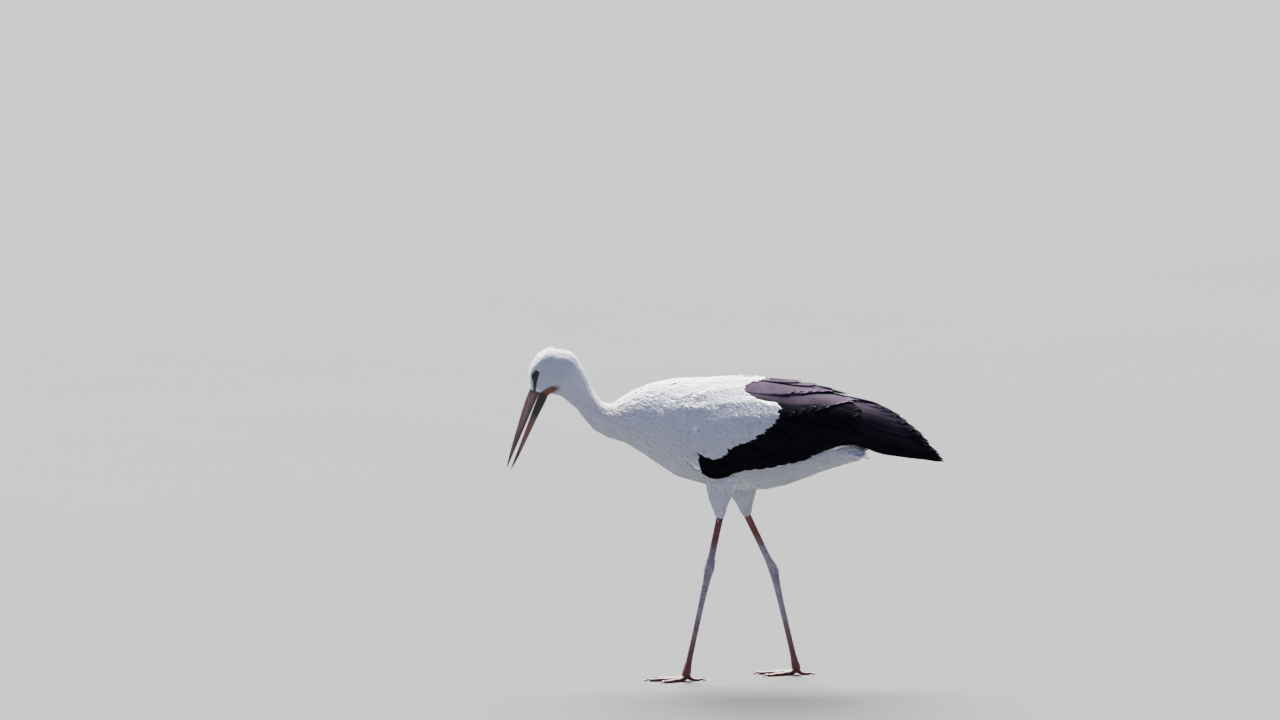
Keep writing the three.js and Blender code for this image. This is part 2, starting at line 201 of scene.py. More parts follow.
def build_barb_group():
    """Fine barbs that run out from the shaft of a feather, and the shaft itself."""
    tree, given, result = new_group(
        "barbs", "ShaderNodeTree",
        {"Pitch": ("NodeSocketFloat", 60.0), "Slant": ("NodeSocketFloat", 0.35)},
        {"Height": "NodeSocketFloat", "Shaft": "NodeSocketFloat", "Edge": "NodeSocketFloat",
         "Along": "NodeSocketFloat", "Side": "NodeSocketFloat", "Tone": "NodeSocketFloat"})
    along, side, _ = parts(tree, attribute(tree, "vane", "Vector"))
    tone = attribute(tree, "tone")
    across = times(tree, math_node(tree, "ABSOLUTE", math_node(tree, "SUBTRACT", side, 0.5)), 2.0)
    slanted = math_node(tree, "SUBTRACT", along, times(tree, across, given["Slant"]))
    place = combined(tree, times(tree, slanted, given["Pitch"]), across, times(tree, tone, 50.0))
    strands = put(tree, "ShaderNodeTexNoise",
                  {"Vector": place, "Scale": 1.0, "Detail": 3.0, "Roughness": 0.7})
    shaft = ramp(tree, across, 0.0, 0.09, 1.0, 0.0)
    shown = {"Height": math_node(tree, "ADD", strands.outputs[0], times(tree, shaft, 0.8)), "Shaft": shaft,
             "Edge": math_node(tree, "MAXIMUM", ramp(tree, across, 0.6, 1.0), ramp(tree, along, 0.86, 1.0)),
             "Along": along, "Side": side, "Tone": tone}
    for key, value in shown.items():
        tree.links.new(value, result[key])
    return tree


def build_mottle_group():
    """Cloudy variation over a surface, from 0 to 1."""
    tree, given, result = new_group(
        "mottle", "ShaderNodeTree",
        {"Scale": ("NodeSocketFloat", 60.0), "Stretch": ("NodeSocketVector", (1, 1, 1)),
         "Contrast": ("NodeSocketFloat", 0.25)}, {"Mask": "NodeSocketFloat"})
    stretched = vector_math(tree, "MULTIPLY", object_place(tree), given["Stretch"])
    cloud = put(tree, "ShaderNodeTexNoise",
                {"Vector": stretched, "Scale": given["Scale"], "Detail": 5.0, "Roughness": 0.6}).outputs[0]
    low = math_node(tree, "SUBTRACT", 0.5, given["Contrast"])
    high = math_node(tree, "ADD", 0.5, given["Contrast"])
    tree.links.new(ramp(tree, cloud, low, high), result["Mask"])
    return tree


BARBS = build_barb_group()
MOTTLE = build_mottle_group()


def use_group(tree, group, **values):
    made = tree.nodes.new("ShaderNodeGroup")
    made.node_tree = group
    for key, value in values.items():
        made.inputs[key].default_value = value
    return made.outputs


def new_material(name, roughness, **surface):
    made = bpy.data.materials.new(name)
    made.use_nodes = True
    principled = made.node_tree.nodes["Principled BSDF"]
    principled.inputs["Roughness"].default_value = roughness
    for key, value in surface.items():
        principled.inputs[key.replace("_", " ")].default_value = value
    return made, made.node_tree, principled.inputs


def layered(tree, surface, tint, *layers):
    """Lays colours over a first one, each where its mask says, and gives the surface the result."""
    for mask, colour in layers:
        tint = colour_mix(tree, mask, tint, colour)
    tree.links.new(tint, surface["Base Color"])


def relief(tree, surface, height, distance, strength):
    bump = put(tree, "ShaderNodeBump", {"Height": height, "Distance": distance, "Strength": strength})
    tree.links.new(bump.outputs[0], surface["Normal"])


# ---------- materials ----------

def build_white_plumage():
    made, tree, surface = new_material(
        "white_plumage", 0.8, Subsurface_Weight=0.6, Subsurface_Radius=(1, 0.9, 0.85), Subsurface_Scale=0.011,
        Specular_IOR_Level=0.2)
    barbs = use_group(tree, BARBS, Pitch=46.0)
    cloud = use_group(tree, MOTTLE, Scale=22.0, Contrast=0.3)["Mask"]
    gular = ramp(tree, attribute(tree, "gular"), 0.05, 0.8)
    # painted shade colour: the white is tinted lilac-blue so that its shaded side reads blue
    layered(tree, surface, colour_mix(tree, barbs["Tone"], (0.87, 0.88, 0.95, 1), (0.94, 0.945, 0.985, 1)),
            (times(tree, cloud, 0.2), (0.84, 0.83, 0.83, 1)),
            (attribute(tree, "buff"), (0.78, 0.66, 0.54, 1)),
            (gular, colour_mix(tree, gular, (0.52, 0.27, 0.16, 1), (0.13, 0.045, 0.024, 1))))
    relief(tree, surface, barbs["Height"], 0.0002, 0.15)
    return made


def build_black_plumage(name, bloom, sheen):
    """Deep black vanes. Where a feather carries painted sheen, a painted mauve sheen stands for light caught
    on its gloss (`bloom` sets how bright it is painted). The sheen is strongest on the low side of each vane
    and falls off into painted shade under the feather that overlaps it. A pale edge there is partly wear and
    partly a painted glint."""
    made, tree, surface = new_material(name, 0.5, Specular_IOR_Level=0.0, Sheen_Weight=sheen,
                                       Sheen_Roughness=0.3, Sheen_Tint=(0.62, 0.46, 0.66, 1))
    barbs = use_group(tree, BARBS, Pitch=90.0)
    cloud = use_group(tree, MOTTLE, Scale=16.0, Contrast=0.3)["Mask"]
    # painted sheen: a mauve colour that stands in for light on the feathers' gloss
    painted_mauve_sheen = colour_mix(tree, cloud, (0.5 * bloom, 0.35 * bloom, 0.5 * bloom, 1),
                       (bloom, 0.71 * bloom, 1.05 * bloom, 1))
    # painted shade: the sheen fades towards the side that the next feather overlaps
    sheen_falloff_to_overlap = ramp(tree, barbs["Side"], 0.1, 0.85, 1.0, 0.3)
    # the painted sheen stops short of the tips of feathers marked for it
    sheen_free_tip = times(tree, attribute(tree, "sheen_free_tip"), ramp(tree, barbs["Along"], 0.78, 0.93))
    painted_sheen = times(tree, attribute(tree, "painted_sheen"), math_node(tree, "SUBTRACT", 1.0, sheen_free_tip))
    # pale edge under the painted sheen: partly a worn edge, partly a painted glint
    rim = times(tree, ramp(tree, barbs["Side"], 0.03, 0.10, 1.0, 0.0), painted_sheen)
    black = colour_mix(tree, barbs["Tone"], (0.0030, 0.0030, 0.0040, 1), (0.0058, 0.0055, 0.0074, 1))
    layered(tree, surface, black, (times(tree, painted_sheen, sheen_falloff_to_overlap), painted_mauve_sheen),
            (times(tree, rim, ramp(tree, cloud, 0.2, 0.8, 0.3, 0.9)), (0.24, 0.19, 0.23, 1)),
            (times(tree, barbs["Shaft"], 0.3), (0.022, 0.019, 0.024, 1)),
            (times(tree, barbs["Edge"], 0.12), (0.05, 0.042, 0.048, 1)))
    tree.links.new(ramp(tree, cloud, 0.0, 1.0, 0.42, 0.56), surface["Roughness"])
    relief(tree, surface, barbs["Height"], 0.0004, 0.45)
    return made


def build_skin_material():
    """Down-white under the feathers, bare black round the eye and under the wings, rust-brown throat."""
    made, tree, surface = new_material("skin", 0.62)
    cloud = use_group(tree, MOTTLE, Scale=180.0, Contrast=0.25)["Mask"]
    bare = colour_mix(tree, cloud, (0.005, 0.0045, 0.005, 1), (0.014, 0.012, 0.013, 1))
    layered(tree, surface, colour_mix(tree, cloud, (0.84, 0.83, 0.84, 1), (0.92, 0.915, 0.915, 1)),
            (ramp(tree, attribute(tree, "gular"), 0.05, 0.7), (0.13, 0.045, 0.026, 1)),
            (ramp(tree, attribute(tree, "bare"), 0.02, 0.35), bare))
    wrinkle = put(tree, "ShaderNodeTexVoronoi", {"Vector": object_place(tree), "Scale": 900.0}).outputs[0]
    relief(tree, surface, wrinkle, 0.0003, 0.6)
    return made


def build_horn(name, root, tip, streak):
    """Horn that darkens to its tip, with fine grain along it. `far` is 0 at the root and 1 at the tip."""
    made, tree, surface = new_material(name, 0.42, Specular_IOR_Level=0.45)
    cloud = use_group(tree, MOTTLE, Scale=55.0, Stretch=(1.6, 1.6, 0.35), Contrast=0.22)["Mask"]
    grain = use_group(tree, MOTTLE, Scale=420.0, Stretch=(1.5, 1.5, 0.12), Contrast=0.3)["Mask"]
    layered(tree, surface, colour_mix(tree, ramp(tree, attribute(tree, "far"), 0.3, 1.0), root, tip),
            (times(tree, cloud, 0.6), streak),
            (times(tree, grain, 0.25), (0.02, 0.015, 0.012, 1)),
            (attribute(tree, "dark"), (0.012, 0.010, 0.010, 1)))
    relief(tree, surface, grain, 0.00025, 0.5)
    return made


def build_leg_material():
    """Small many-sided scales on dull red skin, with a pale dusty bloom round the ankle."""
    made, tree, surface = new_material("leg_scales", 0.55, Specular_IOR_Level=0.4)
    long_scales = vector_math(tree, "MULTIPLY", object_place(tree), (1, 1, 0.62))
    cells, shade = (
        put(tree, "ShaderNodeTexVoronoi", {"Vector": long_scales, "Scale": 430.0}, feature=feature).outputs
        for feature in ("DISTANCE_TO_EDGE", "F1"))
    cloud = use_group(tree, MOTTLE, Scale=48.0, Contrast=0.25)["Mask"]
    grey = put(tree, "ShaderNodeSeparateColor", {0: shade["Color"]}).outputs[0]
    bloom = times(tree, attribute(tree, "bloom"), ramp(tree, cloud, 0.0, 1.0, 0.9, 0.45))
    seam = ramp(tree, cells[0], 0.0, 0.09, 1.0, 0.0)
    layered(tree, surface, colour_mix(tree, grey, (0.135, 0.026, 0.017, 1), (0.24, 0.055, 0.036, 1)),
            (cloud, (0.10, 0.03, 0.025, 1)), (bloom, (0.40, 0.39, 0.44, 1)), (seam, (0.05, 0.016, 0.013, 1)))
    relief(tree, surface, ramp(tree, cells[0], 0.0, 0.22), 0.0006, 0.8)
    return made


def build_eye_material():
    """A dark brown iris round a black pupil. `ring` is the angle from the way that the eye looks."""
    made, tree, surface = new_material("eye", 0.08, Specular_IOR_Level=0.15, Coat_Weight=0.3,
                                       Coat_Roughness=0.03)
    ring = attribute(tree, "ring")
    fibres = put(tree, "ShaderNodeTexNoise",
                 {"Vector": object_place(tree), "Scale": 900.0, "Detail": 4.0}).outputs[0]
    layered(tree, surface, colour_mix(tree, fibres, (0.012, 0.006, 0.004, 1), (0.05, 0.026, 0.016, 1)),
            (ramp(tree, ring, 0.36, 0.41, 1.0, 0.0), (0.001, 0.001, 0.001, 1)),
            (ramp(tree, ring, 0.74, 0.84), (0.008, 0.006, 0.006, 1)))
    return made


def build_floor_material():
    made, tree, surface = new_material("studio_floor", 0.9, Specular_IOR_Level=0.05)
    cloud = use_group(tree, MOTTLE, Scale=0.8, Contrast=0.4)["Mask"]
    layered(tree, surface, colour_mix(tree, cloud, (0.053, 0.0535, 0.0545, 1), (0.0565, 0.057, 0.058, 1)))
    return made


WHITE = build_white_plumage()
# The second value is how bright the painted mauve sheen is; the third is real sheen.
BLACK = build_black_plumage("black_plumage", 0.062, 0.0)
GLOSSY = build_black_plumage("glossy_plumage", 0.062, 0.25)
SKIN = build_skin_material()
BILL_HORN = build_horn("bill_horn", (0.17, 0.060, 0.040, 1), (0.07, 0.030, 0.022, 1), (0.26, 0.17, 0.15, 1))
CLAW_HORN = build_horn("claw_horn", (0.05, 0.035, 0.03, 1), (0.025, 0.018, 0.015, 1), (0.09, 0.06, 0.05, 1))
LEG_SCALES = build_leg_material()
EYE = build_eye_material()
FLOOR = build_floor_material()


# ---------- mesh helpers ----------

def make_mesh(name, points, faces):
    mesh = bpy.data.meshes.new(name)
    mesh.from_pydata(np.asarray(points, float).tolist(), [], [tuple(int(i) for i in face) for face in faces])
    mesh.shade_smooth()
    return mesh


def make_object(name, points, faces, material=None):
    made = add_to_scene(name, make_mesh(name, points, faces))
    if material:
        made.data.materials.append(material)
    return made


def finish_piece(made, replaces=()):
    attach(made, "root")
    if replaces:
        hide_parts(*replaces)


def remove_object(made):
    mesh = made.data
    bpy.data.objects.remove(made)
    if mesh.users == 0:
        bpy.data.meshes.remove(mesh)


def read(items, key, width, kind=float):
    values = np.empty(len(items) * width, kind)
    items.foreach_get(key, values)
    return values.reshape(-1, width)


def read_points(mesh):
    return read(mesh.vertices, "co", 3)


def read_normals(mesh):
    return read(mesh.vertex_normals, "vector", 3)


def read_edges(mesh):
    return read(mesh.edges, "vertices", 2, int)


def set_values(mesh, name, values):
    """A value or vector for every vertex, kept with the mesh under a name."""
    values = np.asarray(values, float)
    flat = values.ndim == 1
    layer = mesh.attributes.new(name, "FLOAT" if flat else "FLOAT_VECTOR", "POINT")
    layer.data.foreach_set("value" if flat else "vector", values.ravel())


def set_map(mesh, name, places):
    """A flat map with a place for every vertex."""
    layer = mesh.uv_layers.new(name=name)
    layer.data.foreach_set("uv", places[read(mesh.loops, "vertex_index", 1, int).ravel()].ravel())


def smoothed(values, edges, rounds):
    """Each vertex's value evened out with its neighbours'."""
    values = np.array(values, float)
    flat = values.ndim == 1
    if flat:
        values = values[:, None]
    count = len(values)
    ends = np.concatenate([edges[:, 0], edges[:, 1]])
    others = np.concatenate([edges[:, 1], edges[:, 0]])
    links = np.maximum(np.bincount(ends, minlength=count), 1)
    for _ in range(rounds):
        for k in range(values.shape[1]):
            mean = np.bincount(ends, values[others, k], minlength=count) / links
            values[:, k] = 0.4 * values[:, k] + 0.6 * mean
    return values[:, 0] if flat else values


def unit(vectors):
    return vectors / np.maximum(np.linalg.norm(vectors, axis=-1, keepdims=True), 1e-9)


def along_surface(ways, normals):
    """Directions turned to lie in the surface."""
    return unit(ways - normals * (ways * normals).sum(1, keepdims=True))


def smoothstep(value, low, high):
    share = np.clip((value - low) / (high - low), 0, 1)
    return share * share * (3 - 2 * share)


def evaluated_mesh(made):
    """The object's finished mesh, with its modifiers worked in."""
    graph = bpy.context.evaluated_depsgraph_get()
    return bpy.data.meshes.new_from_object(
        made.evaluated_get(graph), preserve_all_data_layers=True, depsgraph=graph)


SAME_PLACE = 2e-6  # corners nearer than this are one


def merged_nodes(nodes):
    """A copy of the solids' surfaces as one point and face list, with shared corners merged."""
    points, faces = [], []
    for node in nodes:
        mesh = frame["nodes"][node].data
        base = sum(len(part) for part in points)
        points.append(read_points(mesh))
        faces += [[base + i for i in face.vertices] for face in mesh.polygons]
    points = np.concatenate(points)
    places = np.round(points / SAME_PLACE).astype(int)
    _, first, shared = np.unique(places, axis=0, return_index=True, return_inverse=True)
    shared = shared.ravel()
    faces = [[shared[i] for i in face] for face in faces]
    return points[first], [face for face in faces if len(set(face)) == len(face)]


def one_skin(name, nodes, voxel, rounds):
    """One smooth closed surface round several solids."""
    rough = make_object(name + "_rough", *merged_nodes(nodes))
    remesh = rough.modifiers.new("one_surface", "REMESH")
    remesh.mode, remesh.voxel_size = "VOXEL", voxel
    smooth = rough.modifiers.new("even_out", "SMOOTH")
    smooth.factor, smooth.iterations = 0.5, rounds
    mesh = evaluated_mesh(rough)
    remove_object(rough)
    mesh.name = name
    mesh.shade_smooth()
    return add_to_scene(name, mesh)


# ---------- the head's own frame ----------

HEAD_LEAN = math.radians(21.8)
BILL_BASE = plan(-360, 548)
HEAD_BACK = np.array([math.sin(HEAD_LEAN), 0, math.cos(HEAD_LEAN)])
HEAD_UP = np.array([-HEAD_BACK[2], 0, HEAD_BACK[0]])
EYE_PLACE = (29, 17.5, 11.5)  # behind the bill's base, above its line, out to the side
EYE_RADIUS = 6.8


def head_place(back, up, out=0.0):
    return BILL_BASE + (HEAD_BACK * back + HEAD_UP * up + np.array([0, 1, 0]) * out) * MM


def head_coordinates(points):
    """Millimetres behind the bill's base, above its line and out to the side."""
    away = (points - BILL_BASE) / MM
    return away @ HEAD_BACK, away @ HEAD_UP, np.abs(away[:, 1])


# ---------- skin ----------

FLESH = ("head", "neck_upper", "neck_lower", "trunk", "thigh_left", "thigh_right")

# The line that the plumage follows, in the plan's side view: over the head, down the neck, along the trunk.
LIE_LINE = [(-366, 533), (-358, 560), (-347, 588), (-327, 603), (-304, 588), (-287, 560), (-270, 535),
            (-250, 511), (-222, 498), (-190, 496), (-150, 493), (-66, 476), (8, 468), (84, 462), (142, 455),
            (198, 445), (262, 431), (300, 425)]
THIGHS = {"left": ((2, 400), (-13, 312)), "right": ((12, 400), (39, 305))}
THIGH_OUT = 45

WING_NODES = tuple(node for node in frame["nodes"] if node.startswith("wing_"))
WHITE_NODES = ("wing_left_coverts", "wing_right_coverts")
THROAT = (-322, 520)  # the head's feathers lie in arcs round this place

# Sizes of the coat along the line: [run in metres, value]. Depth and length are in millimetres, and the width
# is a share of the length.
COAT_DEPTH = [(0, 1.2), (0.06, 1.5), (0.12, 1.8), (0.2, 2.1), (0.3, 2.3), (0.42, 2.4), (0.7, 2.6)]
FEATHER_LENGTH = [(0, 6.0), (0.05, 7.0), (0.11, 9.0), (0.2, 15), (0.3, 21), (0.42, 23), (0.7, 26)]
FEATHER_WIDTH = [(0, 0.155), (0.11, 0.17), (0.2, 0.19), (0.3, 0.20), (0.42, 0.24), (0.7, 0.25)]
COAT_SIZES = (COAT_DEPTH, FEATHER_LENGTH, FEATHER_WIDTH)
THIGH_COAT = (2.6, 19, 0.2)
SKIN_GRAIN, SKIN_ROUNDS = 0.0026, 7  # how finely one skin is drawn round the solids, and how often evened out


def lie_samples():
    corners = np.array(LIE_LINE, float)
    steps = np.concatenate([[0], np.cumsum(np.linalg.norm(np.diff(corners, axis=0), axis=1))])
    run = np.linspace(0, steps[-1], 400)
    line = np.stack([np.interp(run, steps, corners[:, 0]), np.interp(run, steps, corners[:, 1])], 1)
    kernel = np.ones(25) / 25
    for k in range(2):
        line[:, k] = np.convolve(np.pad(line[:, k], 12, mode="reflect", reflect_type="odd"), kernel, "valid")
    tangent = unit(np.gradient(line, axis=0))
    return line, tangent, run * MM


def body_lie(points, normals, edges):
    """For each point of the skin: its run along the body, the way the feathers lie, its angle round the body,
    and how far it belongs to a thigh."""
    line, tangent, run = lie_samples()
    x, y, z = plan_of(points)
    flat = np.stack([x, z], 1)
    nearest = np.empty(len(points), int)
    for start in range(0, len(points), 4000):
        part = flat[start:start + 4000]
        nearest[start:start + 4000] = np.argmin(((part[:, None] - line[None]) ** 2).sum(2), 1)
    lie = np.zeros_like(points)
    lie[:, 0], lie[:, 2] = tangent[nearest, 0], tangent[nearest, 1]
    away = unit(flat - np.array(THROAT, float))
    arc = np.stack([away[:, 1], 0 * away[:, 0], -away[:, 0]], 1)
    on_head = smoothstep(run[nearest], 0.17, 0.10)[:, None]
    lie = lie * (1 - on_head) + arc * on_head
    above = (z - line[nearest, 1]) * tangent[nearest, 0] - (x - line[nearest, 0]) * tangent[nearest, 1]
    turn = np.arctan2(y, above)
    thigh = np.zeros(len(points))
    for side, (hip, knee) in THIGHS.items():
        hip, knee = np.array(hip, float), np.array(knee, float)
        axis = (knee - hip) / np.linalg.norm(knee - hip)
        share = np.clip((flat - hip) @ axis, 0, 200)
        out = y - (THIGH_OUT if side == "right" else -THIGH_OUT)
        across = np.hypot(np.linalg.norm(flat - hip - share[:, None] * axis, axis=1), out)
        on = smoothstep(across, 46, 36) * smoothstep(z, 386, 362)
        down = np.array([axis[0], 0, axis[1]])
        lie = lie * (1 - on[:, None]) + down * on[:, None]
        thigh = np.maximum(thigh, on)
    lie = smoothed(along_surface(lie, normals), edges, 14)
    return run[nearest], along_surface(lie, normals), turn, thigh


def bare_face(points, margin=0.0):
    """1 on the bare black skin round the eye and in front of it, 0 on the feathered head."""
    back, up, _ = head_coordinates(points)
    eye_back, eye_up, _ = EYE_PLACE
    round_eye = np.hypot((back - eye_back) / 9.8, (up - eye_up) / 5.9)
    along = np.clip(back / eye_back, 0, 1)
    lores = np.abs(up - (7 + (eye_up - 7) * along)) / (2.3 + 3.6 * along ** 2)
    lores = np.where(back < eye_back, np.maximum(lores, -back / 6), 9)
    side = np.abs(points[:, 1]) / MM > 4
    return np.where(side, smoothstep(np.minimum(round_eye, lores), 1.12 + margin, 0.9 + margin), 0.0)


def gular_skin(points):
    """1 on the bare skin under the base of the bill, fading back along the throat."""
    back, up, _ = head_coordinates(points)
    edge = -12 - 0.62 * np.clip(back, -4, 30)
    return smoothstep(np.abs(up - edge), 13, 3) * smoothstep(back, 36, 8) * smoothstep(back, -14, -8)


def near_nodes(points, nodes):
    """1 on the surface of these solids, 0 away from it."""
    corners, faces = merged_nodes(nodes)
    shell = BVHTree.FromPolygons(corners.tolist(), faces)
    away = [shell.find_nearest(point, 0.008)[3] for point in points.tolist()]
    return smoothstep(np.array([0.008 if gap is None else gap for gap in away]), 0.006, 0.0015)


def shoulder_folds(x, y, z):
    """Soft creases where the feathers bunch at the bend of the wing, in millimetres."""
    place = np.exp(-((x + 56) / 40) ** 2 - ((z - 538) / 22) ** 2) * smoothstep(y, 40, 60)
    return 1.5 * place * np.sin((0.45 * x + 0.95 * z) / 4.4 + 1.7 * np.sin(x / 15))


def joined_surface(name, nodes):
    """One surface round the solids, with the steps where the wings stand on the body evened out."""
    made = one_skin(name, nodes, SKIN_GRAIN, SKIN_ROUNDS)
    points, edges = read_points(made.data), read_edges(made.data)
    x, y, z = plan_of(points)
    y = np.abs(y)
    top_y, top_z, _, low_y, low_z = (np.interp(x, WING[:, 0], WING[:, k]) for k in range(1, 6))
    front = smoothstep(np.abs(x - WING[0, 0]), 46, 16) * smoothstep(z, 405, 435)
    top = smoothstep(np.hypot(y - top_y, z - top_z), 26, 8) * smoothstep(x, 130, 80) * (x > WING_FRONT)
    low = smoothstep(np.hypot(y - low_y, z - low_z), 24, 8) * smoothstep(x, -58, -80) * (x > WING_FRONT)
    share = np.maximum(front, np.maximum(top, low))[:, None]
    points = points + (smoothed(points, edges, 50) - points) * share
    points[:, 1] += np.sign(points[:, 1]) * shoulder_folds(x, y, z) * MM
    made.data.vertices.foreach_set("co", points.ravel())
    made.data.update()
    return made


def coat_sizes(points, run, thigh, wing, edges, bare):
    """Depth of the coat, and the length and width of its feathers, at each point."""
    rear = np.clip((plan_of(points)[0] + 150) / 230, 0, 1)
    on_wing = (1.7, 20 + 8 * rear, 0.25)
    depth, length, width = (
        (np.interp(run, *np.array(size).T) * (1 - thigh) + on_thigh * thigh) * (1 - wing) + over_wing * wing
        for size, on_thigh, over_wing in zip(COAT_SIZES, THIGH_COAT, on_wing))
    depth = smoothed(np.where(bare > 0.5, 0.9, depth), edges, 4)
    return depth * MM, length * MM, width


def finer_head(mesh):
    """Halves the spacing of the points round the face."""
    points = read_points(mesh)
    near = np.linalg.norm(points - head_place(24, 4), axis=1) < 0.045
    work = bmesh.new()
    work.from_mesh(mesh)
    edges = [edge for edge in work.edges if near[edge.verts[0].index] and near[edge.verts[1].index]]
    bmesh.ops.subdivide_edges(work, edges=edges, cuts=1, use_grid_fill=True)
    bmesh.ops.triangulate(work, faces=[face for face in work.faces if len(face.verts) > 4])
    work.to_mesh(mesh)
    work.free()
    mesh.update()


def build_skin():
    made = joined_surface("skin", FLESH + WHITE_NODES)
    mesh = made.data
    finer_head(mesh)
    points, normals, edges = read_points(mesh), read_normals(mesh), read_edges(mesh)
    run, _, _, thigh = body_lie(points, normals, edges)
    bare, wing = bare_face(points), near_nodes(points, WING_NODES)
    depth, _, _ = coat_sizes(points, run, thigh, wing, edges, bare)
    sink = np.where(bare < 0.2, 0.3 + wing, 0) * MM
    rim = smoothstep(head_coordinates(points)[0], -0.5, -2.5) * (run < 0.1)
    set_values(mesh, "bare", bare_face(points, 0.2))
    set_values(mesh, "gular", np.maximum(gular_skin(points), 0.6 * rim))
    points = points - normals * (depth + sink)[:, None]
    mesh.vertices.foreach_set("co", points.ravel())
    mesh.update()
    mesh.materials.append(SKIN)
    return made


# ---------- feathers ----------

stock = bpy.data.collections.new("feather_stock")


def feather_shape(name, rng, rows, columns, width_at, ragged, swept, camber, thick, roll=0.0, ridge=0.0):
    """A closed thin vane from its root at 0 to its tip at 1, half a width to each side, with a sharp rim."""
    along, across = np.meshgrid(np.linspace(0, 1, rows + 1) ** 0.85, np.linspace(-1, 1, columns + 1),
                                indexing="ij")
    jitter, far_out, width = rng.uniform(-1, 1, along.shape), np.abs(across), width_at(along)
    x = along - swept * along ** 3 * far_out ** 2
    x[-1] += ragged * jitter[-1] * (1 - 0.4 * far_out[-1])
    y = across * width * (1 - 0.5 * ragged * np.abs(jitter) * (far_out > 0.9))
    z = -camber * across ** 2 * width - roll * across + ridge * (far_out < 0.05) * (1 - along)
    body = thick * np.sqrt(np.clip(1 - across ** 2, 0, 1)) * np.sqrt(np.clip(1 - (2 * along - 1) ** 8, 0, 1))
    upper = np.arange(along.size).reshape(along.shape)
    inner, lower = upper[1:-1, 1:-1], upper.copy()
    lower[1:-1, 1:-1] = upper.size + np.arange(inner.size).reshape(inner.shape)
    faces = []
    for i in range(rows):
        for j in range(columns):
            faces.append((upper[i, j], upper[i + 1, j], upper[i + 1, j + 1], upper[i, j + 1]))
            faces.append((lower[i, j], lower[i, j + 1], lower[i + 1, j + 1], lower[i + 1, j]))
    top, under = (np.stack([x, y, z + half * body], -1).reshape(-1, 3) for half in (0.5, -0.5))
    points = np.concatenate([top, under[inner.ravel()]])
    mesh = make_mesh(name, points, faces)
    place = np.stack([along.ravel(), across.ravel() / 2 + 0.5], 1)
    set_map(mesh, "vane", np.concatenate([place, place[inner.ravel()]]))
    set_values(mesh, "rise", points[:, 2])
    return bpy.data.objects.new(name, mesh)


def feather_set(name, count, **shape):
    """A few feathers of one kind, each with its own ragged edge."""
    kept = bpy.data.collections.new(name)
    stock.children.link(kept)
    for k in range(count):
        kept.objects.link(feather_shape(f"{name}_{k}", np.random.default_rng(SEED + k), **shape))
    return kept


def swelling(u, least, full_at):
    return least + (1 - least) * np.sin(np.pi * np.clip(u / full_at, 0, 1) / 2)


def tapering(u, start, power, most):
    return np.clip(most - np.clip((u - start) / (1 - start), 0, 1) ** power, 0, 1)


def contour_width(u):
    return swelling(u, 0.5, 0.62) * np.sqrt(tapering(u, 0.5, 2.4, 1.08))


def hackle_width(u):
    return swelling(u, 0.6, 0.4) * tapering(u, 0.3, 1.6, 1.04)


def flight_width(u):
    return (0.72 + 0.28 * np.clip(u / 0.4, 0, 1)) * np.sqrt(tapering(u, 0.72, 2.6, 1.02))


CONTOUR = feather_set("contour", 4, rows=5, columns=6, width_at=contour_width,
                      ragged=0.05, swept=0.14, camber=0.006, thick=0.005)
HACKLE = feather_set("hackle", 4, rows=5, columns=4, width_at=hackle_width,
                     ragged=0.1, swept=0.08, camber=0.015, thick=0.008)
DOWNY = feather_set("downy", 4, rows=4, columns=2, width_at=hackle_width,
                    ragged=0.12, swept=0.1, camber=0.02, thick=0.012)
FLIGHT = feather_set("flight", 3, rows=16, columns=8, width_at=flight_width,
                     ragged=0.006, swept=0.03, camber=0.0012, thick=0.0009, roll=0.0011, ridge=0.0005)


def store(tree, geometry, name, value, kind="FLOAT", domain="POINT"):
    return put(tree, "GeometryNodeStoreNamedAttribute", {"Geometry": geometry, "Name": name, "Value": value},
               data_type=kind, domain=domain).outputs[0]


def named(tree, name, kind="FLOAT"):
    return put(tree, "GeometryNodeInputNamedAttribute", {"Name": name}, data_type=kind).outputs[0]


def named_vector(tree, name):
    return named(tree, name, "FLOAT_VECTOR")


def random_value(tree, seed, step, low, high):
    drawn = {2: low, 3: high, "Seed": math_node(tree, "ADD", seed, float(step))}
    return put(tree, "FunctionNodeRandomValue", drawn, data_type="FLOAT").outputs[1]


FEATHER_SOCKETS = {"Feathers": ("NodeSocketCollection", None), "Patch": ("NodeSocketFloat", 0.003),
                   "Material": ("NodeSocketMaterial", None)}


def planted(tree, given, points, pick, turn, size):
    """A feather of the given set on every point, as real mesh."""
    stock_of = {"Collection": given["Feathers"], "Separate Children": True, "Reset Children": True}
    shapes = put(tree, "GeometryNodeCollectionInfo", stock_of).outputs[0]
    laid = put(tree, "GeometryNodeInstanceOnPoints",
               {"Points": points, "Instance": shapes, "Pick Instance": True, "Instance Index": pick,
                "Rotation": turn, "Scale": size}).outputs[0]
    return put(tree, "GeometryNodeRealizeInstances", {"Geometry": laid}).outputs[0]


def turned_about_z(tree, angle):
    return put(tree, "FunctionNodeEulerToRotation", {0: combined(tree, z=angle)}).outputs[0]


def raised(tree, solid, ground, out, height):
    """The mesh with each point set at its height over the ground."""
    place = vector_math(tree, "ADD", ground, scaled(tree, out, height))
    return put(tree, "GeometryNodeSetPosition", {"Geometry": solid, "Position": place}).outputs[0]


def with_bake_map(tree, solid, given):
    """Gives each feather a small patch at its root's place on the skin's own unwrap, and its material."""
    corner = combined(tree, given["Patch"], given["Patch"])
    patch = vector_math(tree, "MULTIPLY", named_vector(tree, "vane"), corner)
    place = vector_math(tree, "ADD", named_vector(tree, "unwrap"), patch)
    mapped = store(tree, solid, "OFBake", place, "FLOAT2", "CORNER")
    dressed = put(tree, "GeometryNodeSetMaterial", {"Geometry": mapped, "Material": given["Material"]})
    return dressed.outputs[0]


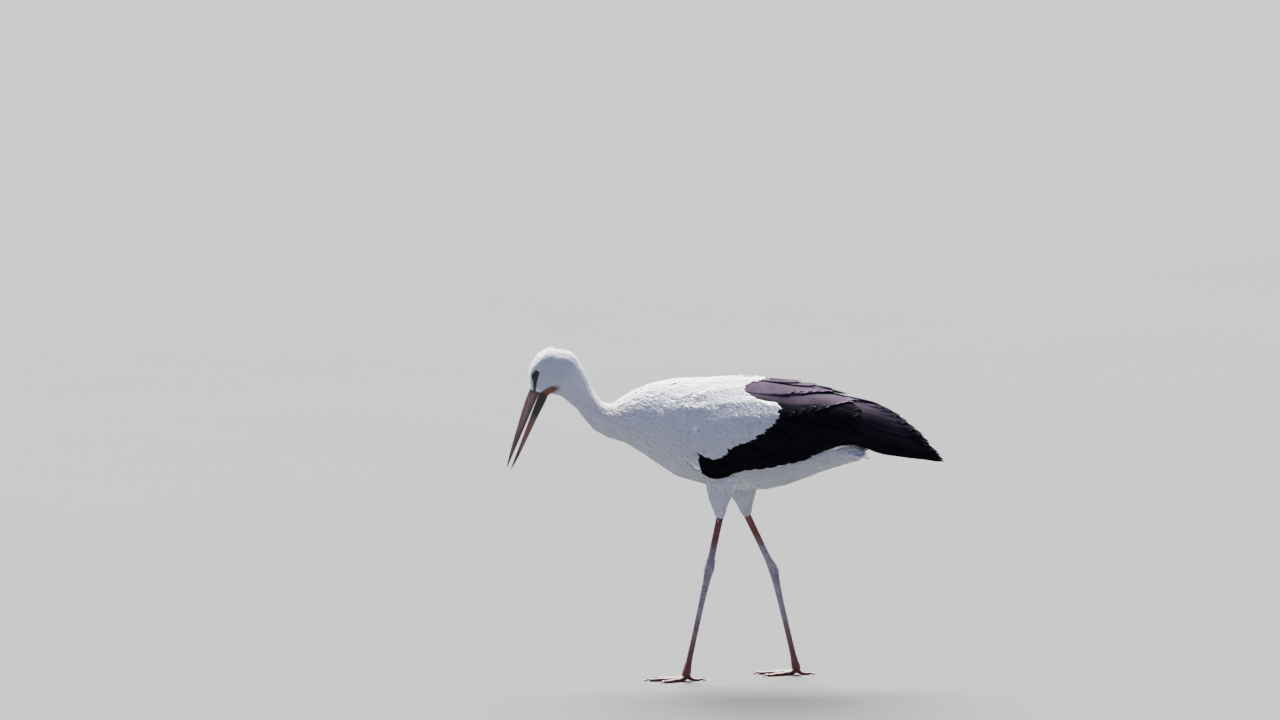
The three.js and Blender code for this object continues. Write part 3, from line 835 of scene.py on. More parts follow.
def build_coat_tree():
    """Feathers scattered over a skin along its `lie`, then combed down so that each follows the surface below
    it, from its root on the skin to its tip at the coat's full depth."""
    tree, given, result = new_group(
        "coat", "GeometryNodeTree",
        {"Skin": ("NodeSocketGeometry", None), "Comb Over": ("NodeSocketObject", None), **FEATHER_SOCKETS,
         "Spacing": ("NodeSocketFloat", 0.006), "Spread": ("NodeSocketFloat", 0.14),
         "Loose": ("NodeSocketFloat", 0.04), "Sink": ("NodeSocketFloat", 0.0006),
         "Vary": ("NodeSocketFloat", 0.14), "Seed": ("NodeSocketInt", SEED)},
        {"Coat": "NodeSocketGeometry"})
    seed, spacing = given["Seed"], given["Spacing"]
    density = math_node(tree, "DIVIDE", 1.0, times(tree, spacing, spacing))
    roots = put(tree, "GeometryNodeDistributePointsOnFaces",
                {"Mesh": given["Skin"], "Distance Min": spacing, "Density Max": density,
                 "Density Factor": named(tree, "cover"), "Seed": seed}, distribute_method="POISSON")
    least, most = (math_node(tree, operation, 1.0, given["Vary"]) for operation in ("SUBTRACT", "ADD"))
    length = times(tree, named(tree, "length"), random_value(tree, seed, 5, least, most))
    width = times(tree, times(tree, length, named(tree, "width")), random_value(tree, seed, 6, least, most))
    loose = math_node(tree, "MULTIPLY_ADD", random_value(tree, seed, 2, -1.0, 1.0), given["Loose"], 1.0)
    loose = times(tree, loose, named(tree, "fullness"))
    points = store(tree, roots.outputs["Points"], "tone", random_value(tree, seed, 1, 0.0, 1.0))
    points = store(tree, store(tree, points, "long", length), "loose", loose)
    flat = put(tree, "FunctionNodeAxesToRotation",
               {0: named_vector(tree, "lie"), 1: roots.outputs["Normal"]},
               primary_axis="X", secondary_axis="Z").outputs[0]
    spread = times(tree, given["Spread"], random_value(tree, seed, 3, -1.0, 1.0))
    turn = put(tree, "FunctionNodeRotateRotation", {0: flat, 1: turned_about_z(tree, spread)},
               rotation_space="LOCAL").outputs[0]
    pick = put(tree, "FunctionNodeRandomValue", {4: 0, 5: 3, "Seed": seed}, data_type="INT").outputs[2]
    size = combined(tree, named(tree, "long"), width, named(tree, "long"))
    solid = planted(tree, given, points, pick, turn, size)

    below = put(tree, "GeometryNodeObjectInfo", {"Object": given["Comb Over"]}).outputs["Geometry"]
    place = put(tree, "GeometryNodeInputPosition").outputs[0]
    nearest = put(tree, "GeometryNodeProximity", {0: below, 2: place}, target_element="FACES")

    def sampled(name, kind):
        return put(tree, "GeometryNodeSampleNearestSurface", {0: below, 1: named(tree, name, kind), 3: place},
                   data_type=kind).outputs[0]

    out = vector_math(tree, "NORMALIZE", sampled("out", "FLOAT_VECTOR"))
    depth = times(tree, sampled("depth", "FLOAT"), named(tree, "loose"))
    along = parts(tree, named_vector(tree, "vane"))[0]
    height = math_node(tree, "MULTIPLY_ADD", math_node(tree, "POWER", along, 0.45), depth,
                       times(tree, given["Sink"], -1.0))
    height = math_node(tree, "MULTIPLY_ADD", named(tree, "rise"), named(tree, "long"), height)
    combed = raised(tree, solid, nearest.outputs["Position"], out, height)
    tree.links.new(with_bake_map(tree, combed, given), result[0])
    return tree


def build_laid_tree():
    """Feathers laid in rows over a curved surface. A root's place, turn, size and bow are in the surface's
    own map, and `root_lift` and `tip_lift` are how high its vane lies there."""
    tree, given, result = new_group(
        "laid_feathers", "GeometryNodeTree",
        {"Roots": ("NodeSocketGeometry", None), "Surface": ("NodeSocketObject", None), **FEATHER_SOCKETS,
         "Mirrored": ("NodeSocketBool", False)},
        {"Feathers": "NodeSocketGeometry"})
    solid = planted(tree, given, given["Roots"], named(tree, "pick", "INT"),
                    turned_about_z(tree, named(tree, "turn")), named_vector(tree, "size"))
    place = put(tree, "GeometryNodeInputPosition").outputs[0]
    chart_x, chart_y, rise = parts(tree, place)
    along = parts(tree, named_vector(tree, "vane"))[0]
    rising = times(tree, along, along)
    lift = put(tree, "ShaderNodeMix", {0: rising, 2: named(tree, "root_lift"), 3: named(tree, "tip_lift")},
               data_type="FLOAT").outputs[0]
    height = math_node(tree, "ADD", rise, lift)
    bowed = times(tree, named(tree, "bow"), rising)
    chart = combined(tree, chart_x, math_node(tree, "ADD", chart_y, bowed))
    surface = put(tree, "GeometryNodeObjectInfo", {"Object": given["Surface"]}).outputs["Geometry"]
    ground, out = (
        put(tree, "GeometryNodeSampleUVSurface",
            {0: surface, 1: value, 2: named_vector(tree, "chart"), 3: chart},
            data_type="FLOAT_VECTOR").outputs[0]
        for value in (place, named_vector(tree, "out")))
    wrapped = raised(tree, solid, ground, out, height)
    outward = put(tree, "GeometryNodeFlipFaces", {"Mesh": wrapped, "Selection": given["Mirrored"]}).outputs[0]
    tree.links.new(with_bake_map(tree, outward, given), result[0])
    return tree


COAT_TREE = build_coat_tree()
LAID_TREE = build_laid_tree()


def grown(name, base, tree, **values):
    """The base mesh run through a Geometry Nodes tree, as a plain mesh object of its own."""
    modifier = base.modifiers.new(tree.name, "NODES")
    modifier.node_group = tree
    sockets = {item.name: item.identifier for item in tree.interface.items_tree if item.in_out == "INPUT"}
    for key, value in values.items():
        modifier[sockets[key.replace("_", " ")]] = value
    mesh = evaluated_mesh(base)
    base.modifiers.remove(modifier)
    mesh.name = name
    mesh.shade_smooth()
    return add_to_scene(name, mesh)


# ---------- the coat of body, neck, head and thighs ----------

# Each tract of the coat: where it runs along the body, its feathers, and the distance between their roots.
TRACTS = {
    "face": dict(run=(0, 0.06), feathers="downy", spacing=0.95),
    "crown": dict(run=(0.06, 0.115), feathers="downy", spacing=1.3),
    "nape": dict(run=(0.115, 0.2), feathers="hackle", spacing=2.2),
    "neck_base": dict(run=(0.2, 0.3), feathers="hackle", spacing=3.3),
    "breast": dict(run=(0.3, 0.42), feathers="contour", spacing=4.8),
    "back_and_belly": dict(run=(0.42, 0.57), feathers="contour", spacing=5.2),
    "rump": dict(run=(0.57, 0.9), feathers="contour", spacing=5.2),
}
THIGH_SPACING = 3.5
WING_SPACING = 4.5
FEATHER_SETS = {"downy": DOWNY, "hackle": HACKLE, "contour": CONTOUR}


WING_COVER = 0.012  # the body is bare of feathers where the wing lies nearer than this


def under_wing(points, normals, wing, quads):
    """1 where a folded wing lies over the body."""
    over = quads[wing[quads].mean(1) > 0.5]
    shell = BVHTree.FromPolygons(points.tolist(), over.tolist())
    start = points + normals * 1.5 * MM
    hidden = np.zeros(len(points), bool)
    for i in np.flatnonzero((wing < 0.5) & (plan_of(points)[0] > WING_FRONT)):
        hidden[i] = shell.ray_cast(start[i].tolist(), normals[i].tolist(), WING_COVER)[0] is not None
    return hidden


def fitted_length(points, lie, length, on_wing):
    """Feathers cut short where they would run over the black or the bare face: 0 on the wing where none fits,
    and 0.35 of the full length elsewhere.
    """
    fitted = np.zeros(len(points))
    flank = (np.abs(points[:, 1]) / MM > 30) & (points[:, 2] / MM < 500)
    for share in np.arange(1, 0.34, -0.06):
        tips = points + lie * (length * share)[:, None]
        x, _, z = plan_of(tips)
        white = inside(WHITE_WING, x, z)
        over_black = flank & (x > -66) & (z > np.interp(x, WING[:, 0], WING[:, 5]) + 5) & ~white
        fits = np.where(on_wing, white, ~over_black & (x < 266)) & (bare_face(tips) < 0.5)
        fitted = np.where((fitted == 0) & fits, length * share, fitted)
    return np.where((fitted == 0) & ~on_wing, 0.35 * length, fitted)


def build_coat_field():
    """The surface that the white plumage is rooted in, with all that the coat needs at each point."""
    ground = joined_surface("coat_ground", FLESH + WING_NODES + ("tail",))
    mesh = ground.data
    finer_head(mesh)
    points, normals, edges = read_points(mesh), read_normals(mesh), read_edges(mesh)
    corners = [list(face.vertices) for face in mesh.polygons]
    quads = np.array([face if len(face) == 4 else face + face[-1:] for face in corners])
    run, lie, turn, thigh = body_lie(points, normals, edges)
    wing, bare = near_nodes(points, WING_NODES), bare_face(points)
    x, _, z = plan_of(points)
    fall = np.radians(6 + 24 * np.clip((np.interp(x, WING[:, 0], WING[:, 2]) - z) / 150, 0, 1))
    blend = smoothed(wing, edges, 12)[:, None]
    lie = lie * (1 - blend) + np.stack([np.cos(fall), 0 * fall, -np.sin(fall)], 1) * blend
    lie = along_surface(smoothed(along_surface(lie, normals), edges, 8), normals)
    depth, length, width = coat_sizes(points, run, thigh, wing, edges, bare)
    back, up, _ = head_coordinates(points)
    length = length * (1 - 0.35 * smoothstep(back, 30, 4) * (run < 0.1))
    free_length = length
    length = fitted_length(points, lie, length, wing > 0.5)
    fullness = smoothed(0.35 + 0.65 * length / free_length, edges, 2)
    outer_face = (normals[:, 1] * np.sign(points[:, 1]) > -0.2) | (z > 560)
    white_wing = (length > 0) & outer_face
    edge = -3.5 + 6.5 * np.exp(-((up - 5) / 4.5) ** 2) + 1.2 * np.sin(up * 1.9)
    feathered = ~under_wing(points, normals, wing, quads) & (bare < 0.3) & ~((back < edge) & (run < 0.1))
    feathered &= (near_nodes(points, ["tail"]) < 0.5) | (near_nodes(points, ["trunk"]) > 0.4)
    feathered &= ((gular_skin(points) < 0.55) | (back > 16)) & (x < 250)
    field = {"run": run, "lie": lie, "turn": turn, "thigh": thigh, "wing": wing, "quads": quads,
             "depth": depth, "length": length, "width": width, "fullness": fullness,
             "gular": gular_skin(points),
             "cover": np.where(wing > 0.5, white_wing, feathered).astype(float),
             "buff": 0.5 * smoothstep(np.hypot(x + 225, (z - 520) * 1.6), 42, 8),
             "points": points - normals * depth[:, None], "out": normals}
    remove_object(ground)
    return field


def skin_patch(name, field, chosen, run_range):
    """A part of the coat's ground with all that the coat needs at each point."""
    kept = field["quads"][chosen]
    used, index = np.unique(kept, return_inverse=True)
    made = make_object(name, field["points"][used], index.reshape(kept.shape))
    low, high = run_range
    along = np.clip((field["run"][used] - low) / (high - low), 0, 1) * 0.9 + 0.04
    around = field["turn"][used] / (2 * np.pi) * 0.9 + 0.5
    set_values(made.data, "unwrap", np.stack([along, around, 0 * along], 1))
    for key in ("lie", "cover", "length", "width", "fullness", "buff", "gular"):
        set_values(made.data, key, field[key][used])
    return made


def build_comb_surface(field, others):
    """All that the coat lies over: its own ground and the parts that stand out of it."""
    points, outs, depths = [field["points"]], [field["out"]], [field["depth"]]
    faces = field["quads"].tolist()
    for other in others:
        base = sum(len(part) for part in points)
        points.append(read_points(other.data))
        outs.append(read_normals(other.data))
        depths.append(np.full(len(points[-1]), 0.0006))
        faces += [[base + i for i in face.vertices] for face in other.data.polygons]
    faces = [face[:3] if len(face) == 4 and face[2] == face[3] else face for face in faces]
    made = make_object("comb_surface", np.concatenate(points), faces)
    set_values(made.data, "out", np.concatenate(outs))
    set_values(made.data, "depth", np.concatenate(depths))
    return made


def build_coat(others):
    field = build_coat_field()
    quads = field["quads"]
    face_run, outward = field["run"][quads].mean(1), field["points"][:, 1][quads].mean(1)
    on_thigh, on_wing = field["thigh"][quads].mean(1) >= 0.5, field["wing"][quads].mean(1) > 0.5
    grows = field["cover"][quads].max(1) > 0
    comb = build_comb_surface(field, others)
    patches = [(name, tract["run"], tract["feathers"], tract["spacing"],
                (face_run >= tract["run"][0]) & (face_run < tract["run"][1]) & ~on_thigh & ~on_wing)
               for name, tract in TRACTS.items()]
    for side, on_side in (("left", outward < 0), ("right", outward > 0)):
        patches.append((f"thigh_{side}", (0.3, 0.6), "hackle", THIGH_SPACING, on_thigh & on_side))
        patches.append((f"shoulder_{side}", (0.25, 0.6), "contour", WING_SPACING, on_wing & on_side))
    for name, run_range, feathers, spacing, chosen in patches:
        patch = skin_patch(name + "_patch", field, chosen & grows, run_range)
        coat = grown("plumage_" + name, patch, COAT_TREE, Comb_Over=comb, Feathers=FEATHER_SETS[feathers],
                     Spacing=spacing * MM, Material=WHITE)
        remove_object(patch)
        side = name.removeprefix("shoulder_")
        finish_piece(coat, [f"wing_{side}_coverts"] if side != name else ())
    remove_object(comb)


# ---------- wings ----------

# Sections of the wing's outer face: place along the body, [y, z] of the top edge, y of the fullest place, and
# [y, z] of the lower edge.
WING = np.array([
    (-142, 58, 532, 67, 64, 470), (-88, 44, 563, 88, 77, 425), (-28, 22, 580, 100, 84, 392),
    (22, 10, 583, 102, 83, 405), (83, 5, 580, 98, 79, 411), (135, 4, 571, 89, 71, 417),
    (184, 4, 559, 77, 60, 434), (240, 4, 540, 62, 50, 446), (292, 4, 525, 47, 43, 432),
    (335, 5, 503, 37, 35, 428), (388, 9, 455, 24, 22, 423), (415, 14, 419, 17, 17, 415)], float)
WING_FRONT = -150
FULLEST = 0.6  # how far up the section its fullest place is
USUAL_HEIGHT = 150  # of the wing, to measure lines that are given in shares of it
CHART_START = -190  # the chart's first column, in the plan
CHART_LOW = 40  # the chart runs this far below the lower edge
CHART_STEP = 5
CHART_X = np.arange(CHART_START, 460, CHART_STEP, dtype=float)
CHART_RUN = np.arange(-CHART_LOW, 300, CHART_STEP, dtype=float)
SECTION_POINTS = 41


def flowing(stations, values, at):
    """A smooth line through the stations, straight beyond their ends."""
    slope = np.gradient(values, stations)
    i = np.clip(np.searchsorted(stations, at) - 1, 0, len(stations) - 2)
    span = stations[i + 1] - stations[i]
    raw = (at - stations[i]) / span
    t = np.clip(raw, 0, 1)
    smooth = (values[i] * (1 + 2 * t) * (1 - t) ** 2 + values[i + 1] * t * t * (3 - 2 * t)
              + span * (slope[i] * t * (1 - t) ** 2 + slope[i + 1] * t * t * (t - 1)))
    return smooth + (raw - t) * span * np.where(raw > 1, slope[i + 1], slope[i])


def wing_section(x):
    """Points of the wing's section at x from its lower to its top edge, as y and z, and the way along it."""
    at = np.clip(x, WING_FRONT, WING_TIP)
    top_y, top_z, side, low_y, low_z = (flowing(WING[:, 0], WING[:, k], at) for k in range(1, 6))
    top, low = np.array([top_y, top_z]), np.array([low_y, low_z])
    middle = np.array([side, low_z + FULLEST * (top_z - low_z)])
    control = 2 * middle - (top + low) / 2
    c = np.linspace(0, 1, SECTION_POINTS)[:, None]
    section = (1 - c) ** 2 * low + 2 * c * (1 - c) * control + c ** 2 * top
    run = np.concatenate([[0], np.cumsum(np.linalg.norm(np.diff(section, axis=0), axis=1))])
    return section, run


def chart_share(x, share):
    """The chart's coordinates at a share of the way from the wing's lower edge to its top."""
    _, run = wing_section(x)
    return np.array([x - CHART_START, share * run[-1] + CHART_LOW]) * MM


def grid_cells(index):
    """The four corners of each cell of a grid of points."""
    return index[:-1, :-1], index[1:, :-1], index[1:, 1:], index[:-1, 1:]


def laying_surface(name, grid, chart, side=-1):
    """A grid of points as a surface with its outward directions and a flat map, to lay feathers over."""
    out = unit(np.cross(np.gradient(grid, axis=0), np.gradient(grid, axis=1))) * -side
    corners = grid_cells(np.arange(chart[..., 0].size).reshape(chart.shape[:2]))
    faces = np.stack(corners if side < 0 else corners[::-1], -1).reshape(-1, 4)
    made = make_object(name, grid.reshape(-1, 3), faces)
    set_values(made.data, "out", out.reshape(-1, 3))
    set_map(made.data, "chart", chart.reshape(-1, 2) * MM)
    return made, out


def build_wing_surface(side):
    """The wing's outer face and a margin round it."""
    grid = np.empty((len(CHART_X), len(CHART_RUN), 3))
    for i, x in enumerate(CHART_X):
        section, run = wing_section(x)
        y, z = (np.interp(CHART_RUN, run, section[:, k]) for k in (0, 1))
        for rest, heading in ((np.minimum(CHART_RUN, 0), section[1] - section[0]),
                              (np.maximum(CHART_RUN - run[-1], 0), section[-1] - section[-2])):
            heading = heading / np.linalg.norm(heading)
            y, z = y + rest * heading[0], z + rest * heading[1]
        grid[i] = np.stack([np.full(len(CHART_RUN), (x + SHIFT) * MM), side * y * MM, z * MM], 1)
    chart = np.stack(np.meshgrid(CHART_X - CHART_START, CHART_RUN + CHART_LOW, indexing="ij"), -1)
    made, out = laying_surface("wing_surface", grid, chart, side)
    return made, grid, out


def along_line(corners, share):
    """A place at a share of the length of a line of corners, each an x and a share of the wing's height."""
    corners = np.array(corners, float)
    real_steps = np.diff(corners, axis=0) * (1, USUAL_HEIGHT)
    steps = np.concatenate([[0], np.cumsum(np.linalg.norm(real_steps, axis=1))])
    return [np.interp(share * steps[-1], steps, corners[:, k]) for k in (0, 1)]


def inside(outline, x, z):
    """True where a place of the side view is inside a closed outline."""
    x, z = np.asarray(x, float), np.asarray(z, float)
    hits = np.zeros(x.shape, bool)
    for (ax, az), (bx, bz) in zip(outline, outline[1:] + outline[:1]):
        if az != bz:
            hits ^= ((az > z) != (bz > z)) & (x < ax + (z - az) / (bz - az) * (bx - ax))
    return hits


FLIGHT_PATCH = 0.02


def at_share(value, share):
    """A fixed value, or one from pairs of a share and a value."""
    return np.interp(share, *zip(*value)) if isinstance(value, list) else value


def one_feather(root, tip, half, low, high, bow=0.0, painted_sheen=0.0, sheen_free_tip=0.0):
    """A feather on the chart, with half its width, the lifts of its root and tip, and its looks: how much
    painted sheen it carries, and whether that painted sheen stops short of its tip.
    """
    return dict(root=root, tip=tip, half=half, low=low, high=high, bow=bow, painted_sheen=painted_sheen, sheen_free_tip=sheen_free_tip)


def feather_row(count, roots, tips, half, low, high, bow=0.0, painted_sheen=0.0, sheen_free_tip=0.0):
    """Feathers from the line of their roots to the line of their tips."""
    shares = [k / (count - 1) for k in range(count)]
    return [one_feather(chart_share(*along_line(roots, share)), chart_share(*along_line(tips, share)),
                        at_share(half, share), low, high, bow, at_share(painted_sheen, share), sheen_free_tip)
            for share in shares]


def lay_feathers(name, row, surface, material, seed, mirrored=False):
    """One joined mesh of all the feathers of a piece."""
    rng = np.random.default_rng(SEED + seed)
    count, zero = len(row), np.zeros(len(row))
    column = {key: np.array([feather[key] for feather in row], float) for key in row[0]}
    roots, bow = column["root"], column["bow"] * MM
    spans = column["tip"] - roots - np.column_stack([zero, bow])
    unwrap = (roots - roots.min(0)) / np.maximum(np.ptp(roots, axis=0), 0.01) * 0.85 + 0.02
    base = make_object(name + "_roots", np.column_stack([roots, zero]), [])
    # each feather's painted sheen, and where it stops short of the tip, go to its material
    values = {"turn": np.arctan2(spans[:, 1], spans[:, 0]) + rng.uniform(-0.012, 0.012, count),
              "size": np.column_stack([np.linalg.norm(spans, axis=1), column["half"] * MM, np.ones(count)]),
              "bow": bow, "root_lift": column["low"] * MM, "tip_lift": column["high"] * MM,
              "tone": rng.uniform(0, 1, count), "painted_sheen": column["painted_sheen"], "sheen_free_tip": column["sheen_free_tip"],
              "unwrap": np.column_stack([unwrap, zero])}
    for key, value in values.items():
        set_values(base.data, key, value)
    layer = base.data.attributes.new("pick", "INT", "POINT")
    layer.data.foreach_set("value", rng.integers(0, len(FLIGHT.objects), count))
    made = grown(name, base, LAID_TREE, Feathers=FLIGHT, Surface=surface, Mirrored=mirrored,
                 Patch=FLIGHT_PATCH, Material=material)
    remove_object(base)
    return made


# The white coverts end along this line, in the plan's side view.
WHITE_WING = [(-260, 640), (-260, 380), (-44, 380), (-57, 444), (-42, 434), (-23, 430), (-10, 434), (5, 447),
              (24, 459), (53, 470), (72, 484), (87, 497), (97, 509), (106, 524), (98, 533), (72, 537),
              (53, 546), (34, 556), (35, 567), (60, 574), (104, 580), (104, 640)]


def flight_rows():
    """The black feathers of one wing, by node. A row has the line of its roots and the line of its tips, half
    the width of a feather, and how high its roots and its tips lie over the wing's face."""
    # Painted mauve sheen lies on the upper feathers, where light falls from above: scapulars, ridge, upper
    # tertials and upper primaries, which lose it at their tips.
    primaries = feather_row(
        11, [(178, 0.84), (180, 0.1)],
        [(300, 0.95), (330, 0.94), (356, 0.9), (376, 0.86), (392, 0.76), (404, 0.62), (410, 0.5), (415, 0.4)],
        [(0, 14), (1, 11)], -4.5, -1.0, bow=-9, sheen_free_tip=1.0,
        painted_sheen=[(0, 0.6), (0.2, 0.6), (0.45, 0.32), (0.75, 0.08), (1, 0)])
    secondaries = feather_row(
        13, [(-70, 0.08), (0, 0.14), (120, 0.5), (150, 0.6)],
        [(20, 0.03), (120, 0.04), (200, 0.05), (262, 0.14)], [(0, 14), (1, 16)], -4.8, -1.6)
    inner = feather_row(6, [(95, 0.5), (125, 0.7)], [(232, 0.2), (258, 0.4), (256, 0.68)], 15, -4.6, -1.3)
    coverts = feather_row(
        14, [(-78, 0.26), (-30, 0.22), (40, 0.42), (92, 0.62)],
        [(-14, 0.03), (40, 0.1), (110, 0.24), (165, 0.48)], [(0, 10), (1, 13)], -4.6, -1.0)
    hook = feather_row(5, [(-63, 0.36), (-46, 0.26)], [(-42, 0.06), (-16, 0.0)], 7.5, -4.4, -1.0)
    tertials = feather_row(
        8, [(24, 0.62), (12, 0.83)], [(128, 0.52), (185, 0.62), (236, 0.78), (254, 0.96)],
        [(0, 15), (0.5, 17), (1, 13)], -4.6, -0.7, painted_sheen=[(0, 0.0), (0.5, 0.02), (0.6, 0.7), (1, 1)])
    scapulars = feather_row(6, [(10, 0.8), (28, 0.95)], [(128, 0.78), (178, 0.88), (212, 1.0)],
                            [(0, 12), (1, 9)], -4.2, 0.1, painted_sheen=1.0)
    ridge = feather_row(4, [(62, 0.95), (140, 1.0)], [(142, 1.01), (232, 1.03)], 9, -3.8, 0.3, painted_sheen=0.9)
    return {"primaries": primaries, "secondaries": secondaries + inner + coverts + hook,
            "tertials": tertials + scapulars + ridge}


BED_START, BED_END = -78, 240
BED_DEPTH = 5.4  # of the bed under the vanes
EXTRA_DEPTH = 6  # of its upper front, which the white shoulder covers
BED_RIM, ARM = 1.2, 9  # thickness at the bed's rim, and what the arm adds


def build_wing_bed(name, grid, out, side):
    """The solid arm and the feathers' roots under the vanes."""
    shares = np.linspace(0.07, 0.985, 22)
    bulge = np.sin(np.pi * np.linspace(0.03, 0.97, len(shares)))
    upper, under = [], []
    for i in np.flatnonzero((CHART_X >= BED_START) & (CHART_X <= BED_END)):
        x = CHART_X[i]
        k = (shares * wing_section(x)[1][-1] + CHART_LOW) / CHART_STEP
        point, normal = (
            np.stack([np.interp(k, np.arange(len(CHART_RUN)), values[i, :, a]) for a in range(3)], 1)
            for values in (grid, out))
        depth = BED_DEPTH + EXTRA_DEPTH * smoothstep(shares, 0.3, 0.42) * smoothstep(-x, 15, 50)
        thick = BED_RIM + ARM * np.clip((BED_END - x) / 300, 0.05, 1) * bulge
        upper.append(point - unit(normal) * (depth * MM)[:, None])
        under.append(point - unit(normal) * ((depth + thick) * MM)[:, None])
    points = np.array(upper + under).reshape(-1, 3)
    outer = np.arange(len(points) // 2).reshape(len(upper), -1)
    inner = outer + outer.size
    walls = [grid_cells(outer), (inner[:-1, :-1], inner[:-1, 1:], inner[1:, 1:], inner[1:, :-1]),
             (outer[:-1, 0], inner[:-1, 0], inner[1:, 0], outer[1:, 0]),
             (outer[:-1, -1], outer[1:, -1], inner[1:, -1], inner[:-1, -1]),
             (outer[0, :-1], outer[0, 1:], inner[0, 1:], inner[0, :-1]),
             (outer[-1, :-1], inner[-1, :-1], inner[-1, 1:], outer[-1, 1:])]
    faces = np.concatenate([np.stack([corner.ravel() for corner in wall], 1) for wall in walls])
    made = make_object(name, points, faces if side < 0 else faces[:, ::-1], SKIN)
    x, _, z = plan_of(points)
    set_values(made.data, "bare", ~inside(WHITE_WING, x, z))
    return made


def build_wings():
    for name, side in (("left", -1), ("right", 1)):
        surface, grid, out = build_wing_surface(side)
        finish_piece(build_wing_bed(f"wing_bed_{name}", grid, out, side))
        for kind, row in flight_rows().items():
            material = GLOSSY if kind == "tertials" else BLACK
            made = lay_feathers(f"{kind}_{name}", row, surface, material, 2, side > 0)
            finish_piece(made, [f"wing_{name}_{kind}"])
        remove_object(surface)


# ---------- tail ----------

TAIL_TOP = [(100, 486), (150, 471), (200, 459), (240, 448), (266, 442.4), (300, 437)]
TAIL_DROOP, TAIL_HALF = 16, 46
TAIL_CHART = (-80, 90)  # from the plan to the tail's own chart
TAIL_FEATHERS = 12


def build_tail():
    x, y = np.meshgrid(np.arange(90, 300, 5.0), np.arange(-75, 76, 5.0), indexing="ij")
    z = np.interp(x, *np.array(TAIL_TOP).T) - TAIL_DROOP * (y / TAIL_HALF) ** 2
    grid = np.stack([(x + SHIFT) * MM, y * MM, z * MM], -1)
    surface, _ = laying_surface("tail_surface", grid, np.stack([x, y], -1) + TAIL_CHART)
    row = []
    for share in np.linspace(-1, 1, TAIL_FEATHERS):
        root, tip = (140, 18 * share), (272 - 12 * share ** 2, 37 * share)
        lift = -3.4 * abs(share)
        row.append(one_feather((np.array(root) + TAIL_CHART) * MM, (np.array(tip) + TAIL_CHART) * MM, 11.5,
                               lift - 2.4, lift - 0.6))
    made = lay_feathers("tail_feathers", row, surface, WHITE, 5)
    remove_object(surface)
    finish_piece(made, ["tail"])


# ---------- bill ----------

BILL_LENGTH = 156
GAPE = (12, -3)
BILL_OPEN = math.radians(1.2)
NOSTRIL = (14, 30)  # where its slit starts and ends; a groove runs on from there towards the tip
NOSTRIL_HEIGHT = 0.62
# Distance from the feathering, half width, height above the gape line and depth below it.
BILL = np.array([(-8, 12, 18.6, 17), (8, 11.8, 19.4, 17), (40, 9.2, 17.2, 13.8), (80, 6.8, 12.6, 10.2),
                 (120, 4.4, 7.4, 6.8), (148, 2, 2.8, 2.8), (156, 0.8, 1, 1)], float)


def build_bill_half(name, half):
    """One half of the bill: a ridge, two sides and the flat that meets the other half."""
    turn = HEAD_LEAN + half * BILL_OPEN
    back = np.array([math.sin(turn), 0, math.cos(turn)])
    up = np.array([-back[2], 0, back[0]])
    gape = head_place(*GAPE)
    distances = np.concatenate([np.linspace(-8, 12, 10, endpoint=False), np.linspace(12, 150, 96),
                                [152.5, 154.5, 155.6]])
    rim_to_ridge = np.linspace(0, np.pi, 25)
    floor = np.linspace(1, -1, 9)[1:-1]
    points, far, dark = [], [], []
    for distance in distances:
        wide, above, below = (flowing(BILL[:, 0], BILL[:, k], distance) for k in (1, 2, 3))
        tall = above if half > 0 else below
        centre = gape - back * (distance + GAPE[0]) * MM
        ring = []
        for angle in rim_to_ridge:
            side, height = math.cos(angle), math.sin(angle)
            y = np.sign(side) * abs(side) ** 0.8 * wide
            z = height ** 1.12 * tall
            past, length = distance - NOSTRIL[0], NOSTRIL[1] - NOSTRIL[0]
            if half > 0 and 0 < past < length and abs(side) > 0.3:
                slit = math.exp(-((height - NOSTRIL_HEIGHT) / 0.09) ** 2) * math.sin(math.pi * past / length)
                y -= np.sign(side) * 1.9 * slit
            if half > 0 and past > length:
                groove = math.exp(-((height - NOSTRIL_HEIGHT) / 0.1) ** 2) * math.exp(-(past - length) / 26)
                y -= np.sign(side) * 0.35 * groove
            ring.append(centre + np.array([0, y, 0]) * MM + up * z * half * MM)
        for side in floor:
            hollow = 0.35 * wide * (1 - side ** 2)
            ring.append(centre + np.array([0, -side * wide * 0.96, 0]) * MM + up * hollow * half * MM)
        points += ring
        far += [np.clip(distance / BILL_LENGTH, 0, 1)] * len(ring)
        tip = 0.75 * smoothstep(distance, 96, 146)
        if half < 0:
            dark += [max(smoothstep(distance, 66, 34), tip)] * len(ring)
        else:
            edge = [1 - smoothstep(math.sin(angle), 0.1, 0.62) for angle in rim_to_ridge] + [1] * len(floor)
            dark += [max(0.75 * low_edge, 0.6 * smoothstep(distance, 16, -2), tip) for low_edge in edge]
    index = np.arange(len(points)).reshape(len(distances), -1)
    after = np.roll(index, -1, axis=1)
    faces = np.stack([index[:-1], after[:-1], after[1:], index[1:]], -1).reshape(-1, 4).tolist()
    faces += [index[0, ::-1].tolist(), index[-1].tolist()]
    if half < 0:
        faces = [face[::-1] for face in faces]
    made = make_object(name, points, faces, BILL_HORN)
    set_values(made.data, "far", far)
    set_values(made.data, "dark", dark)
    return made


# ---------- eyes ----------

def eye_axes(side):
    """The eye's centre, the way it looks, and the two directions across it."""
    centre = head_place(*EYE_PLACE[:2], side * EYE_PLACE[2])
    axis = unit(np.array([0, side, 0]) + HEAD_UP * 0.12 - HEAD_BACK * 0.16)
    first = unit(HEAD_BACK - axis * (HEAD_BACK @ axis))
    return centre, axis, first, np.cross(axis, first)


LID_INNER, LID_OUTER = np.array([5.3, 4.5]), np.array([10.0, 7.2])  # half its length and half its height
LID_THICKNESS = 1.5
EYE_DOME = 0.55


